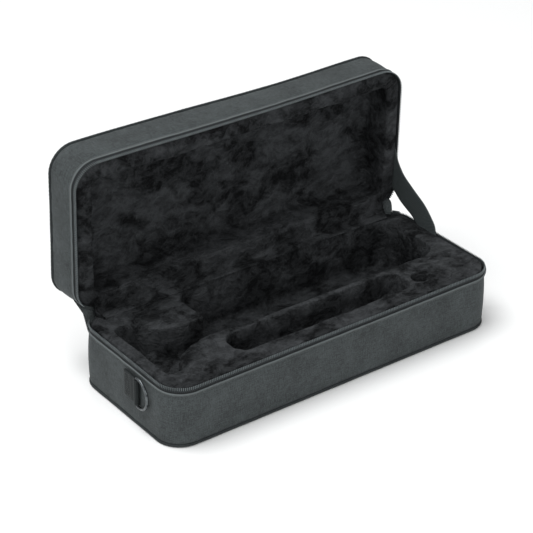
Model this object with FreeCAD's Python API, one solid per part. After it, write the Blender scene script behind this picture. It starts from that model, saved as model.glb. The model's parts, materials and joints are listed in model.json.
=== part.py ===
import FreeCAD, Part
import math
import os
from FreeCAD import Vector

# Sizes are in millimetres. The base stands on z = 0 with its centre at the origin.
# x runs along the case, y runs from the front to the hinge at the back, and z is up.
# Both halves are built in a half frame: outer panel at z = 0, zipper edge at the half's height.
# The lid is then turned over, set on the base and swung open.

# Case
case_length = 540.0
case_depth = 222.0
base_height = 90.8
lid_height = 60.4
corner_radius = 36.0
parting_gap = 1.4
open_angle = 88.0
hinge_rise = 4.0
cut_overrun = 20.0
seat_gap = 0.3

# Cloth skin, panels and piping
cloth_thickness = 1.2
panel_thickness = 1.6
piping_radius = 2.2
piping_stand_out = 1.4
piping_lift = 0.4
piping_seam_gap = 0.2

# Rigid foam shells
foam_wall = 10.0
foam_floor = 8.0
foam_below_edge = 1.9

# Zipper
tape_thickness = 0.7
tape_height = 11.4
tape_below_edge = 1.2
coil_width = 4.4
coil_thickness = 1.5
zipper_end_angle = 45.0
zipper_end_gap = 0.5

# Plush lining
plush_thickness = 1.6
plush_below_edge = 0.4
slot_width = 4.0
lid_border_width = 25.0
lid_pad_thickness = 4.5

# Instrument well in the base: flared end, neck and main well
flare_left_wall = 23.0
flare_slot_width = 26.0
flare_half_width = 65.0
flare_shoulder = 50.0
flare_floor = 13.0
neck_half_width = 19.0
neck_floor = 46.0
neck_taper_length = 46.0
neck_waist = 32.0
neck_waist_length = 20.0
neck_centre_y = -2.0
well_left = -130.0
well_right = 237.0
well_front = -23.0
well_back = 87.0
well_floor = 20.0
well_corner_radius = 22.0

# Accessory trough and round socket
trough_left = -140.0
trough_right = 148.0
trough_front = -79.0
trough_back = -37.0
trough_floor = 52.0
trough_corner_radius = 14.0
socket_radius = 10.5
socket_x = 168.0
socket_y = -68.0
socket_floor = 50.0

# Hinge strips
hinge_cloth_thickness = 1.0
hinge_cloth_leg = 14.0
hinge_cloth_gap = 0.2
hinge_corner_steps = 6
hinge_plush_angle = 24.0
hinge_plush_thickness = 2.0
hinge_plush_leg = 9.0
hinge_plush_gap = 0.3
hinge_bend_steps = 8

# Zipper end pieces
zipper_end_width = 11.0
zipper_end_height = 9.0
zipper_end_thickness = 1.2

# Stay strap
strap_width = 38.0
strap_thickness = 1.6
strap_base_reach = 80.0
strap_base_half = 21.0
strap_lid_reach = 51.0
strap_lid_half = 24.0
strap_sag = 4.0
anchor_depth = 22.0
anchor_gap = 0.2

# D-rings and tabs
ring_wire_radius = 2.0
ring_half_height = 21.5
ring_corner_radius = 2.3
ring_leg = 1.7
ring_drop = 34.8
webbing_width = 38.0
webbing_thickness = 1.5
bar_clearance = 0.25
tab_gap = 0.1
tab_length = 31.0
tab_flat_length = 18.0
left_bar_y = -37.0
right_bar_y = -50.0
left_ring_angle = 2.0
right_ring_angle = 53.0

# Zipper slider and its pull
slider_end_gap = 31.0
slider_length = 15.0
slider_plate = 1.6
slider_gap = 0.4
slider_lip = 1.4
slider_height = 13.4
inner_plate = 1.4
inner_plate_height = 4.4
inner_plate_gap = 0.3
bridge_thickness = 0.8
bridge_length = 4.0
ear_thickness = 1.2
ear_reach = 4.0
ear_length = 5.0
ear_gap_height = 5.4
pin_radius = 0.9
pin_clearance = 0.08
pull_eye_radius = 1.9
pull_thickness = 1.4
pull_height = 5.0
pull_length = 27.0
pull_tip_height = 8.0
pull_tip_length = 15.0
pull_hole_radius = 1.6
pull_corner_radius = 1.5

# Carry handle on the lid's outer panel
handle_half_span = 78.0
handle_sewn_length = 34.0
handle_rise_length = 30.0
handle_rise = 26.0
handle_rise_steps = 6
handle_width = 32.0
handle_thickness = 2.4
patch_length = 40.0
patch_width = 44.0
patch_thickness = 1.2
grip_half_length = 44.0
grip_width = 37.0
grip_thickness = 8.0
grip_corner_radius = 3.0

half_length = case_length / 2
half_depth = case_depth / 2
lid_edge_z = base_height + parting_gap
closed_top = lid_edge_z + lid_height
hinge_y = half_depth
hinge_z = lid_edge_z + hinge_rise
zipper_end_y = half_depth - corner_radius + corner_radius * math.cos(math.radians(zipper_end_angle))
slider_y = half_depth - corner_radius - slider_end_gap
strap_base_y = half_depth - strap_base_reach
ring_centre_z = base_height - ring_drop
foam_inset = cloth_thickness + foam_wall
lining_inset = foam_inset + seat_gap
slot_inset = cloth_thickness + slot_width
floor_top = panel_thickness + foam_floor


def rounded_wire(left, right, front, back, radius, level):
    """A rectangle with round corners, as four lines and four arcs at one level."""
    slant = radius * (1 - math.sqrt(2) / 2)
    bottom_left = Vector(left + radius, front, level)
    bottom_right = Vector(right - radius, front, level)
    right_front = Vector(right, front + radius, level)
    right_back = Vector(right, back - radius, level)
    top_right = Vector(right - radius, back, level)
    top_left = Vector(left + radius, back, level)
    left_back = Vector(left, back - radius, level)
    left_front = Vector(left, front + radius, level)
    front_right_mid = Vector(right - slant, front + slant, level)
    back_right_mid = Vector(right - slant, back - slant, level)
    back_left_mid = Vector(left + slant, back - slant, level)
    front_left_mid = Vector(left + slant, front + slant, level)
    edges = [
        Part.LineSegment(bottom_left, bottom_right).toShape(),
        Part.Arc(bottom_right, front_right_mid, right_front).toShape(),
        Part.LineSegment(right_front, right_back).toShape(),
        Part.Arc(right_back, back_right_mid, top_right).toShape(),
        Part.LineSegment(top_right, top_left).toShape(),
        Part.Arc(top_left, back_left_mid, left_back).toShape(),
        Part.LineSegment(left_back, left_front).toShape(),
        Part.Arc(left_front, front_left_mid, bottom_left).toShape(),
    ]
    return Part.Wire(edges)


def case_wire(inset, level):
    """The case's outline, drawn in by an inset."""
    reach = half_length - inset
    depth = half_depth - inset
    return rounded_wire(-reach, reach, -depth, depth, corner_radius - inset, level)


def case_prism(inset, low, high):
    """A block with the case's outline, drawn in by an inset."""
    return Part.Face(case_wire(inset, low)).extrude(Vector(0, 0, high - low))


def case_ring(outer_inset, inner_inset, low, high):
    """A wall that follows the case's outline."""
    outer = case_prism(outer_inset, low, high)
    inner = case_prism(inner_inset, low - cut_overrun, high + cut_overrun)
    return outer.cut(inner)


def rounded_block(left, right, front, back, radius, low, high):
    """A block with round upright corners."""
    wire = rounded_wire(left, right, front, back, radius, low)
    return Part.Face(wire).extrude(Vector(0, 0, high - low))


def span_box(x_low, x_high, y_low, y_high, z_low, z_high):
    """A box between two corners."""
    corner = Vector(x_low, y_low, z_low)
    return Part.makeBox(x_high - x_low, y_high - y_low, z_high - z_low, corner)


def polygon_face(points):
    """A flat face from its corners."""
    return Part.Face(Part.makePolygon(points + [points[0]]))


def rear_region():
    """The part of the case behind the two ends of the zipper."""
    reach = half_length + cut_overrun
    return span_box(-reach, reach, zipper_end_y, half_depth + cut_overrun,
                    -cut_overrun, base_height + cut_overrun)


def outer_panel():
    """The flat cloth-covered board inside the piping."""
    return case_prism(piping_depth(), 0, panel_thickness)


def piping_depth():
    """How far in from the wall's face the piping reaches."""
    return piping_radius * 2 - piping_stand_out


def piping():
    """The round cord sewn along the panel's edge."""
    inset = piping_radius - piping_stand_out
    level = piping_lift + piping_radius
    path = case_wire(inset, level)
    centre = Vector(0, inset - half_depth, level)
    circle = Part.Wire(Part.makeCircle(piping_radius, centre, Vector(1, 0, 0)))
    start = path.Edges[0].Vertexes[0].Point
    circle.translate(Vector(start.x, 0, 0))
    return path.makePipeShell([circle], True, False)


def wall_start():
    """The level where the wall's cloth meets the piping's seam."""
    return piping_lift + piping_radius * 2 + piping_seam_gap


def foam_shell(height):
    """A rigid foam tray, cut back along its edge to leave room for the piping."""
    top = height - foam_below_edge
    tray = case_prism(cloth_thickness, panel_thickness, top)
    hollow = case_prism(foam_inset, floor_top, top + cut_overrun)
    notch = case_ring(-cut_overrun, piping_depth(), -cut_overrun, wall_start())
    return tray.cut(hollow).cut(notch)


def wall_cover(height):
    """The cloth round the sides, which goes up to the rim only behind the zipper's ends."""
    band = case_ring(0, cloth_thickness, wall_start(), height - tape_height)
    rear = case_ring(0, cloth_thickness, height - tape_height, height - foam_below_edge)
    return band.fuse(rear.common(rear_region())).removeSplitter()


def zipper_tape(height):
    """The woven tape between the wall's cloth and the coil."""
    inset = cloth_thickness - tape_thickness
    tape = case_ring(inset, cloth_thickness, height - tape_height, height - tape_below_edge)
    return tape.cut(rear_region())


def zipper_coil(height):
    """The coil's bead along the zipper edge."""
    inner = cloth_thickness - tape_thickness
    coil = case_ring(inner - coil_thickness, inner, height - coil_width, height)
    return coil.cut(rear_region())


def lining_flange(height, outer, inner):
    """The rim of the plush, which lies over the foam wall and stops short of the zipper slot."""
    low = height - foam_below_edge + seat_gap
    return case_ring(outer, inner, low, height - plush_below_edge)


def flare_side(right, end_x, grow, sign):
    """One side of the throat: a quick curved taper from the slot, then the straight neck."""
    waist_x = right + neck_waist_length
    taper_x = waist_x + neck_taper_length
    level = neck_floor - grow
    start = Vector(right - cloth_thickness - grow, neck_centre_y + sign * (flare_shoulder + grow), level)
    waist = Vector(waist_x, neck_centre_y + sign * (neck_waist + grow), level)
    neck = Vector(taper_x, neck_centre_y + sign * (neck_half_width + grow), level)
    end = Vector(end_x, neck.y, level)
    return start, end, [Part.Arc(start, waist, neck).toShape(), Part.LineSegment(neck, end).toShape()]


def flare_pocket(grow):
    """The slot for the flared end with its quick taper to the neck, grown by a lining."""
    left = flare_left_wall - half_length - grow
    right = left + flare_slot_width + grow * 2
    half = flare_half_width + grow
    top = base_height + cut_overrun
    slot = span_box(left, right, neck_centre_y - half, neck_centre_y + half, flare_floor - grow, top)
    end_x = well_left + well_corner_radius
    front_start, front_end, front_edges = flare_side(right, end_x, grow, -1)
    back_start, back_end, back_edges = flare_side(right, end_x, grow, 1)
    ends = [
        Part.LineSegment(front_end, back_end).toShape(),
        Part.LineSegment(back_start, front_start).toShape(),
    ]
    outline = Part.Wire(Part.__sortEdges__(front_edges + back_edges + ends))
    throat = Part.Face(outline).extrude(Vector(0, 0, top - neck_floor + grow))
    return slot.fuse(throat)


def main_well(grow):
    """The wide well for the body of the instrument, grown by a lining."""
    return rounded_block(well_left - grow, well_right + grow, well_front - grow, well_back + grow,
                         well_corner_radius + grow, well_floor - grow, base_height + cut_overrun)


def trough(grow):
    """The long accessory trough behind the front wall, grown by a lining."""
    return rounded_block(trough_left - grow, trough_right + grow, trough_front - grow,
                         trough_back + grow, trough_corner_radius + grow, trough_floor - grow,
                         base_height + cut_overrun)


def socket(grow):
    """The small round socket past the trough's right end, grown by a lining."""
    height = base_height + cut_overrun - socket_floor + grow
    return Part.makeCylinder(socket_radius + grow, height,
                             Vector(socket_x, socket_y, socket_floor - grow))


def wells(grow):
    """All the hollows of the base as one shape."""
    return flare_pocket(grow).fuse(main_well(grow)).fuse(trough(grow)).fuse(socket(grow))


def base_insert():
    """The shaped foam block under the plush."""
    top = base_height - plush_below_edge - plush_thickness
    block = case_prism(lining_inset, floor_top + seat_gap, top)
    return block.cut(wells(plush_thickness))


def base_plush():
    """The plush skin over the insert: a top sheet and a lining in every hollow."""
    top = base_height - plush_below_edge
    low = top - plush_thickness
    sheet = case_prism(lining_inset, low, top)
    room = case_prism(lining_inset, floor_top + seat_gap, top)
    linings = wells(plush_thickness).common(room)
    flange = lining_flange(base_height, slot_inset, lining_inset)
    return sheet.fuse(linings).fuse(flange).cut(wells(0)).removeSplitter()


def lid_frame():
    """The foam frame that backs the lid's plush border."""
    top = lid_height - plush_below_edge - plush_thickness
    inner = lid_border_width - plush_thickness
    return case_ring(lining_inset, inner, floor_top + seat_gap, top)


def lid_plush():
    """The lid's plush: the border's face, the recess walls and the recess floor as one skin."""
    top = lid_height - plush_below_edge
    low = floor_top + seat_gap
    inner = lid_border_width - plush_thickness
    skin = case_ring(inner, lid_border_width, low, top)
    face = case_ring(lining_inset, inner, top - plush_thickness, top)
    flange = lining_flange(lid_height, slot_inset, lining_inset)
    pad = case_prism(lid_border_width, low, low + lid_pad_thickness)
    return skin.fuse(face).fuse(flange).fuse(pad).removeSplitter()


def swing(shape, angle):
    """Turn a shape about the lid's hinge line."""
    turned = shape.copy()
    turned.rotate(Vector(0, hinge_y, hinge_z), Vector(1, 0, 0), angle)
    return turned


def close_on_base(shape):
    """Turn a half over and set it on the base as a closed lid."""
    lid = shape.mirror(Vector(0, 0, 0), Vector(0, 0, 1))
    lid.translate(Vector(0, 0, closed_top))
    return lid


def open_lid(shape):
    """Place a half as the lid in its open rest pose."""
    return swing(close_on_base(shape), -open_angle)


def cove_points(base_leg, base_corner, control, lid_corner, lid_leg, steps):
    """Two straight legs joined by a smooth bend that is drawn towards a control point."""
    points = [base_leg]
    for step in range(steps + 1):
        share = step / steps
        first = base_corner * (1 - share) + control * share
        second = control * (1 - share) + lid_corner * share
        points.append(first * (1 - share) + second * share)
    points.append(lid_leg)
    return points


def corner_place(inset, angle, side):
    """The middle line of a wall drawn in by an inset, at an angle from the back wall's direction."""
    reach = corner_radius - inset
    x = half_length - corner_radius + reach * math.sin(angle)
    y = half_depth - corner_radius + reach * math.cos(angle)
    return Vector(side * x, y, 0)


def hinge_places(inset, end_angle):
    """Places along a hinge strip: round the left back corner, straight, round the right one."""
    places = []
    for side in (-1, 1):
        corner = []
        for step in range(hinge_corner_steps + 1):
            angle = math.radians(end_angle) * step / hinge_corner_steps
            corner.append(corner_place(inset, angle, side))
        places += corner[::-1] if side < 0 else corner
    return places


def strip_solid(rows, thickness):
    """A thin solid on both sides of a grid of points, as flat triangles."""
    last = len(rows) - 1
    width = len(rows[0]) - 1
    outer = []
    inner = []
    for index, row in enumerate(rows):
        outer_row = []
        inner_row = []
        for place, point in enumerate(row):
            along = rows[min(index + 1, last)][place] - rows[max(index - 1, 0)][place]
            across = row[min(place + 1, width)] - row[max(place - 1, 0)]
            normal = along.cross(across).normalize() * (thickness / 2)
            outer_row.append(point + normal)
            inner_row.append(point - normal)
        outer.append(outer_row)
        inner.append(inner_row)
    quads = []
    for index in range(last):
        for place in range(width):
            quads.append((outer[index][place], outer[index + 1][place],
                          outer[index + 1][place + 1], outer[index][place + 1]))
            quads.append((inner[index][place], inner[index][place + 1],
                          inner[index + 1][place + 1], inner[index + 1][place]))
        for place in (0, width):
            quads.append((outer[index][place], outer[index + 1][place],
                          inner[index + 1][place], inner[index][place]))
    for index in (0, last):
        for place in range(width):
            quads.append((outer[index][place], outer[index][place + 1],
                          inner[index][place + 1], inner[index][place]))
    faces = []
    for first, second, third, fourth in quads:
        faces.append(Part.Face(Part.makePolygon([first, second, third, first])))
        faces.append(Part.Face(Part.makePolygon([first, third, fourth, first])))
    shell = Part.Shell(faces)
    shell.sewShape()
    solid = Part.Solid(shell)
    if solid.Volume < 0:
        solid.reverse()
    return solid


def hinge_cloth(steps):
    """The outer hinge strip, sewn to both halves and bent into the corner between them."""
    inset = -hinge_cloth_gap - hinge_cloth_thickness / 2
    rows = []
    for place in hinge_places(inset, zipper_end_angle - zipper_end_gap):
        base_corner = place + Vector(0, 0, base_height - foam_below_edge)
        base_leg = base_corner - Vector(0, 0, hinge_cloth_leg)
        lid_near = place + Vector(0, 0, lid_edge_z + foam_below_edge + hinge_cloth_leg / 2)
        lid_far = lid_near + Vector(0, 0, hinge_cloth_leg)
        lid_corner = swing(Part.Vertex(lid_near), -open_angle).Point
        lid_leg = swing(Part.Vertex(lid_far), -open_angle).Point
        control = Vector(place.x, base_corner.y, lid_corner.z)
        rows.append(cove_points(base_leg, base_corner, control, lid_corner, lid_leg, steps))
    return strip_solid(rows, hinge_cloth_thickness)


def hinge_plush(steps):
    """The inner hinge strip, from the base's plush rim up to the lid's plush rim."""
    offset = hinge_plush_gap + hinge_plush_thickness / 2
    level = base_height - plush_below_edge + offset
    lid_level = lid_edge_z + plush_below_edge - offset
    near_places = hinge_places(slot_inset + hinge_plush_leg, hinge_plush_angle)
    far_places = hinge_places(slot_inset + hinge_plush_leg * 2, hinge_plush_angle)
    rows = []
    for near, far in zip(near_places, far_places):
        base_leg = far + Vector(0, 0, level)
        base_corner = near + Vector(0, 0, level)
        lid_corner = swing(Part.Vertex(near + Vector(0, 0, lid_level)), -open_angle).Point
        lid_leg = swing(Part.Vertex(far + Vector(0, 0, lid_level)), -open_angle).Point
        control = Vector(near.x, lid_corner.y, base_corner.z)
        rows.append(cove_points(base_leg, base_corner, control, lid_corner, lid_leg, steps))
    return strip_solid(rows, hinge_plush_thickness)


def zipper_end(side):
    """A folded cloth tab over the end of the base's zipper, at a back corner."""
    inner = cloth_thickness - tape_thickness - coil_thickness - hinge_cloth_gap
    wrap = case_ring(inner - zipper_end_thickness, inner, base_height - zipper_end_height, base_height)
    centre = Vector(side * (half_length - corner_radius), half_depth - corner_radius, 0)
    turn = math.degrees(zipper_end_width / corner_radius)
    reach = corner_radius + cut_overrun
    wedge = Part.makeCylinder(reach, base_height + cut_overrun, centre, Vector(0, 0, 1), turn)
    wedge.rotate(centre, Vector(0, 0, 1), zipper_end_angle - zipper_end_gap - turn)
    if side < 0:
        wedge = wedge.mirror(centre, Vector(1, 0, 0))
    return wrap.common(wedge)


def strap_face_x():
    """The strap's inner face, in the slot between the zipper's tape and the plush rim."""
    return half_length - slot_inset + anchor_gap


def strap_ends():
    """The strap's two seams, as front and back points on the base and on the lid."""
    level = base_height - foam_below_edge
    base_front = Vector(0, strap_base_y - strap_base_half, level)
    base_back = Vector(0, strap_base_y + strap_base_half, level)
    lid_level = lid_edge_z + foam_below_edge
    lid_y = half_depth - strap_lid_reach
    upper = swing(Part.Vertex(Vector(0, lid_y - strap_lid_half, lid_level)), -open_angle).Point
    lower = swing(Part.Vertex(Vector(0, lid_y + strap_lid_half, lid_level)), -open_angle).Point
    return base_front, base_back, lower, upper


def stay_strap():
    """The flat webbing between the two seams, with its front edge a little bowed."""
    shift = Vector(strap_face_x(), 0, 0)
    base_front, base_back, lower, upper = [point + shift for point in strap_ends()]
    across = (upper - base_front).normalize()
    bow = Vector(0, across.z, -across.y) * -strap_sag
    front_mid = (base_front + upper) * (1 / 2) + bow
    back_mid = (base_back + lower) * (1 / 2) + bow
    edges = [
        Part.LineSegment(base_front, base_back).toShape(),
        Part.Arc(base_back, back_mid, lower).toShape(),
        Part.LineSegment(lower, upper).toShape(),
        Part.Arc(upper, front_mid, base_front).toShape(),
    ]
    return Part.Face(Part.Wire(edges)).extrude(Vector(strap_thickness, 0, 0))


def strap_slit(grow):
    """The room for the strap's sewn end in the base's foam wall, in the half frame."""
    top = base_height - foam_below_edge
    x_low = strap_face_x() - grow
    return span_box(x_low, x_low + strap_thickness + grow * 2,
                    strap_base_y - strap_base_half - grow, strap_base_y + strap_base_half + grow,
                    top - anchor_depth - grow, top)


def lid_slit(grow):
    """The room for the strap's sewn end in the lid's foam wall, in the lid's half frame."""
    top = lid_height - foam_below_edge
    x_low = strap_face_x() - grow
    y_mid = half_depth - strap_lid_reach
    return span_box(x_low, x_low + strap_thickness + grow * 2,
                    y_mid - strap_lid_half - grow, y_mid + strap_lid_half + grow,
                    top - anchor_depth - grow, top)


def tab_outline(bar_y, level):
    """A folded tab seen from above: a flat sewn part that swells to an eye round the bar."""
    eye = ring_wire_radius + bar_clearance + webbing_thickness
    face_x = half_length + tab_gap
    outer_x = face_x + webbing_thickness * 2
    rear_y = bar_y + tab_length
    knee_y = rear_y - tab_flat_length
    points = [
        Vector(face_x, rear_y, level),
        Vector(outer_x, rear_y, level),
        Vector(outer_x, knee_y, level),
        Vector(face_x + eye * 2, bar_y, level),
        Vector(face_x, bar_y, level),
    ]
    return polygon_face(points)


def bar_x():
    """The D-ring bar's distance from the middle of the case."""
    return half_length + tab_gap + webbing_thickness + bar_clearance + ring_wire_radius


def ring_tab(side, bar_y):
    """A webbing tab sewn to an end wall, looped round the D-ring's bar."""
    low = ring_centre_z - webbing_width / 2
    centre = Vector(bar_x(), bar_y, low)
    body = tab_outline(bar_y, low).extrude(Vector(0, 0, webbing_width))
    eye = ring_wire_radius + bar_clearance + webbing_thickness
    body = body.fuse(Part.makeCylinder(eye, webbing_width, centre))
    bore_start = centre - Vector(0, 0, cut_overrun)
    bore = Part.makeCylinder(ring_wire_radius + bar_clearance, webbing_width + cut_overrun * 2, bore_start)
    return to_side(body.cut(bore).removeSplitter(), side)


def to_side(shape, side):
    """Keep a right-end shape, or mirror it to the left end."""
    if side > 0:
        return shape
    return shape.mirror(Vector(0, 0, 0), Vector(1, 0, 0))


def d_wire(x, bar_y):
    """The D's middle line: a straight bar, two bent corners and a half-round bow."""
    half = ring_half_height
    bend = ring_corner_radius
    slant = bend * (1 - math.sqrt(2) / 2)
    low_bar = Vector(x, bar_y, ring_centre_z - half + bend)
    high_bar = Vector(x, bar_y, ring_centre_z + half - bend)
    high_bend = Vector(x, bar_y - bend, ring_centre_z + half)
    low_bend = Vector(x, bar_y - bend, ring_centre_z - half)
    high_leg = Vector(x, bar_y - bend - ring_leg, ring_centre_z + half)
    low_leg = Vector(x, bar_y - bend - ring_leg, ring_centre_z - half)
    high_mid = Vector(x, bar_y - slant, ring_centre_z + half - slant)
    low_mid = Vector(x, bar_y - slant, ring_centre_z - half + slant)
    tip = Vector(x, bar_y - bend - ring_leg - half, ring_centre_z)
    edges = [
        Part.LineSegment(low_bar, high_bar).toShape(),
        Part.Arc(high_bar, high_mid, high_bend).toShape(),
        Part.LineSegment(high_bend, high_leg).toShape(),
        Part.Arc(high_leg, tip, low_leg).toShape(),
        Part.LineSegment(low_leg, low_bend).toShape(),
        Part.Arc(low_bend, low_mid, low_bar).toShape(),
    ]
    return Part.Wire(edges)


def d_ring(side, bar_y, angle):
    """A round wire bent to a D and swung out from the wall about its bar."""
    x = bar_x()
    path = d_wire(x, bar_y)
    start = path.Edges[0].Vertexes[0].Point
    circle = Part.Wire(Part.makeCircle(ring_wire_radius, start, Vector(0, 0, 1)))
    ring = path.makePipeShell([circle], True, False)
    ring.rotate(Vector(x, bar_y, 0), Vector(0, 0, 1), angle)
    return to_side(ring, side)


def slider_levels():
    """The middle level of the closed zipper and the inner plate's half height."""
    return base_height + parting_gap / 2, inner_plate_height / 2


def pin_x():
    """The pull's pin, measured from the middle of the case."""
    coil_face = half_length - cloth_thickness + tape_thickness + coil_thickness
    return coil_face + slider_gap + slider_plate + ear_reach - pin_radius * 2


def zipper_slider():
    """A slider: outer plate with a lip, bridge, inner plate, and two ears with a pin."""
    middle, inner_half = slider_levels()
    tape_face = half_length - cloth_thickness + tape_thickness
    inner_x = tape_face + coil_thickness + slider_gap
    outer_x = inner_x + slider_plate
    front = slider_y - slider_length / 2
    back = slider_y + slider_length / 2
    low = middle - slider_height / 2
    high = middle + slider_height / 2
    plate = span_box(inner_x, outer_x, front, back, low, high)
    upright = [edge for edge in plate.Edges if abs(edge.tangentAt(edge.FirstParameter).x) > 1 / 2]
    plate = plate.makeFillet(slider_plate, upright)
    lip = span_box(tape_face + seat_gap, inner_x, front + slider_plate, back - slider_plate,
                   low, low + slider_lip)
    inside_face = half_length - cloth_thickness - inner_plate_gap
    inside = span_box(inside_face - inner_plate, inside_face, front, back,
                      middle - inner_half, middle + inner_half)
    bridge = span_box(inside_face - inner_plate, outer_x, back - bridge_length, back,
                      middle - bridge_thickness / 2, middle + bridge_thickness / 2)
    ear_front = slider_y - ear_length / 2
    ear_back = slider_y + ear_length / 2
    gap = ear_gap_height / 2
    ear_x = outer_x + ear_reach
    low_ear = span_box(outer_x - slider_plate / 2, ear_x, ear_front, ear_back,
                       middle - gap - ear_thickness, middle - gap)
    high_ear = span_box(outer_x - slider_plate / 2, ear_x, ear_front, ear_back,
                        middle + gap, middle + gap + ear_thickness)
    pin = Part.makeCylinder(pin_radius, ear_gap_height, Vector(pin_x(), slider_y, middle - gap))
    return plate.fuse([lip, inside, bridge, low_ear, high_ear, pin]).removeSplitter()


def zipper_pull():
    """A pull: an eye on the slider's pin, a neck and a wider tip with a hole, towards the back."""
    middle = slider_levels()[0]
    x = pin_x()
    low = middle - pull_height / 2
    eye = Part.makeCylinder(pull_eye_radius, pull_height, Vector(x, slider_y, low))
    half = pull_thickness / 2
    neck = span_box(x - half, x + half, slider_y, slider_y + pull_length - pull_tip_length / 2,
                    low, low + pull_height)
    tip_start = slider_y + pull_length - pull_tip_length
    tip = span_box(x - half, x + half, tip_start, slider_y + pull_length,
                   middle - pull_tip_height / 2, middle + pull_tip_height / 2)
    corners = [edge for edge in tip.Edges if abs(edge.tangentAt(edge.FirstParameter).x) > 1 / 2]
    tip = tip.makeFillet(pull_corner_radius, corners)
    hole = Part.makeCylinder(pull_hole_radius, pull_thickness + cut_overrun,
                             Vector(x - cut_overrun / 2, tip_start + pull_tip_length / 2, middle),
                             Vector(1, 0, 0))
    bore_height = pull_height + cut_overrun
    bore = Part.makeCylinder(pin_radius + pin_clearance, bore_height,
                             Vector(x, slider_y, low - cut_overrun / 2))
    return eye.fuse([neck, tip]).cut(hole).cut(bore).removeSplitter()


def handle_line(steps):
    """The handle's middle line in the closed case: flat ends, a smooth rise and a level top."""
    start = closed_top + patch_thickness + handle_thickness / 2
    points = [Vector(-handle_half_span - handle_sewn_length, 0, start)]
    for step in range(steps + 1):
        share = step / steps
        ease = (1 - math.cos(math.pi * share)) / 2
        x = -handle_half_span + handle_rise_length * share
        points.append(Vector(x, 0, start + handle_rise * ease))
    mirrored = [Vector(-point.x, point.y, point.z) for point in reversed(points)]
    return points + mirrored


def handle_strap(steps):
    """The carry handle's webbing, arched over the lid's panel between two sewn ends."""
    upper = []
    lower = []
    for point in handle_line(steps):
        upper.append(point + Vector(0, -handle_width / 2, handle_thickness / 2))
        lower.append(point + Vector(0, -handle_width / 2, -handle_thickness / 2))
    face = polygon_face(upper + lower[::-1])
    return swing(face.extrude(Vector(0, handle_width, 0)), -open_angle)


def handle_grip():
    """The padded wrap round the middle of the handle."""
    middle = closed_top + patch_thickness + handle_thickness / 2 + handle_rise
    outer = span_box(-grip_half_length, grip_half_length, -grip_width / 2, grip_width / 2,
                     middle - grip_thickness / 2, middle + grip_thickness / 2)
    long_edges = [edge for edge in outer.Edges if abs(edge.tangentAt(edge.FirstParameter).x) > 1 / 2]
    outer = outer.makeFillet(grip_corner_radius, long_edges)
    core = span_box(-grip_half_length - cut_overrun, grip_half_length + cut_overrun,
                    -handle_width / 2, handle_width / 2,
                    middle - handle_thickness / 2, middle + handle_thickness / 2)
    return swing(outer.cut(core), -open_angle)


def handle_patch(side):
    """A sewn patch between the lid's panel and one end of the handle."""
    centre = side * (handle_half_span + handle_sewn_length / 2)
    patch = span_box(centre - patch_length / 2, centre + patch_length / 2,
                     -patch_width / 2, patch_width / 2, closed_top, closed_top + patch_thickness)
    return swing(patch, -open_angle)


def base_pieces():
    """Everything that stays with the base."""
    return {
        "base_bottom_panel": outer_panel(),
        "base_foam_shell": foam_shell(base_height).cut(strap_slit(anchor_gap)),
        "base_wall_cover": wall_cover(base_height),
        "base_piping": piping(),
        "base_zipper_tape": zipper_tape(base_height),
        "base_zipper_coil": zipper_coil(base_height),
        "base_foam_insert": base_insert(),
        "base_plush_lining": base_plush(),
        "ring_tab_left": ring_tab(-1, left_bar_y),
        "ring_tab_right": ring_tab(1, right_bar_y),
        "zipper_end_left": zipper_end(-1),
        "zipper_end_right": zipper_end(1),
        "strap_anchor_base": strap_slit(0),
        "hinge_cloth": hinge_cloth(hinge_bend_steps),
        "hinge_plush": hinge_plush(hinge_bend_steps),
        "stay_strap": stay_strap(),
    }


def lid_pieces():
    """Everything that turns with the lid."""
    return {
        "lid_top_panel": open_lid(outer_panel()),
        "lid_foam_shell": open_lid(foam_shell(lid_height).cut(lid_slit(anchor_gap))),
        "lid_wall_cover": open_lid(wall_cover(lid_height)),
        "lid_piping": open_lid(piping()),
        "lid_zipper_tape": open_lid(zipper_tape(lid_height)),
        "lid_zipper_coil": open_lid(zipper_coil(lid_height)),
        "lid_foam_frame": open_lid(lid_frame()),
        "lid_plush_lining": open_lid(lid_plush()),
        "strap_anchor_lid": open_lid(lid_slit(0)),
        "handle_patch_left": handle_patch(-1),
        "handle_patch_right": handle_patch(1),
        "handle_webbing": handle_strap(handle_rise_steps),
        "handle_grip": handle_grip(),
    }


def small_moving_pieces():
    """The D-rings, the zipper slider and its pull."""
    return {
        "d_ring_left": d_ring(-1, left_bar_y, left_ring_angle),
        "d_ring_right": d_ring(1, right_bar_y, right_ring_angle),
        "zipper_slider": zipper_slider(),
        "zipper_pull": zipper_pull(),
    }


os.makedirs("parts", exist_ok=True)
pieces = {}
pieces.update(base_pieces())
pieces.update(lid_pieces())
pieces.update(small_moving_pieces())
for name, shape in pieces.items():
    shape.exportStep("parts/" + name + ".step")
    box = shape.BoundBox
    print(name, "solids", len(shape.Solids), "valid", shape.isValid(), "volume", round(shape.Volume, 1),
          "x", round(box.XMin, 1), round(box.XMax, 1), "y", round(box.YMin, 1), round(box.YMax, 1),
          "z", round(box.ZMin, 1), round(box.ZMax, 1))
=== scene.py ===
import itertools
import json
import math

import bmesh
import bpy
import numpy as np
from mathutils import Matrix


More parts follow.
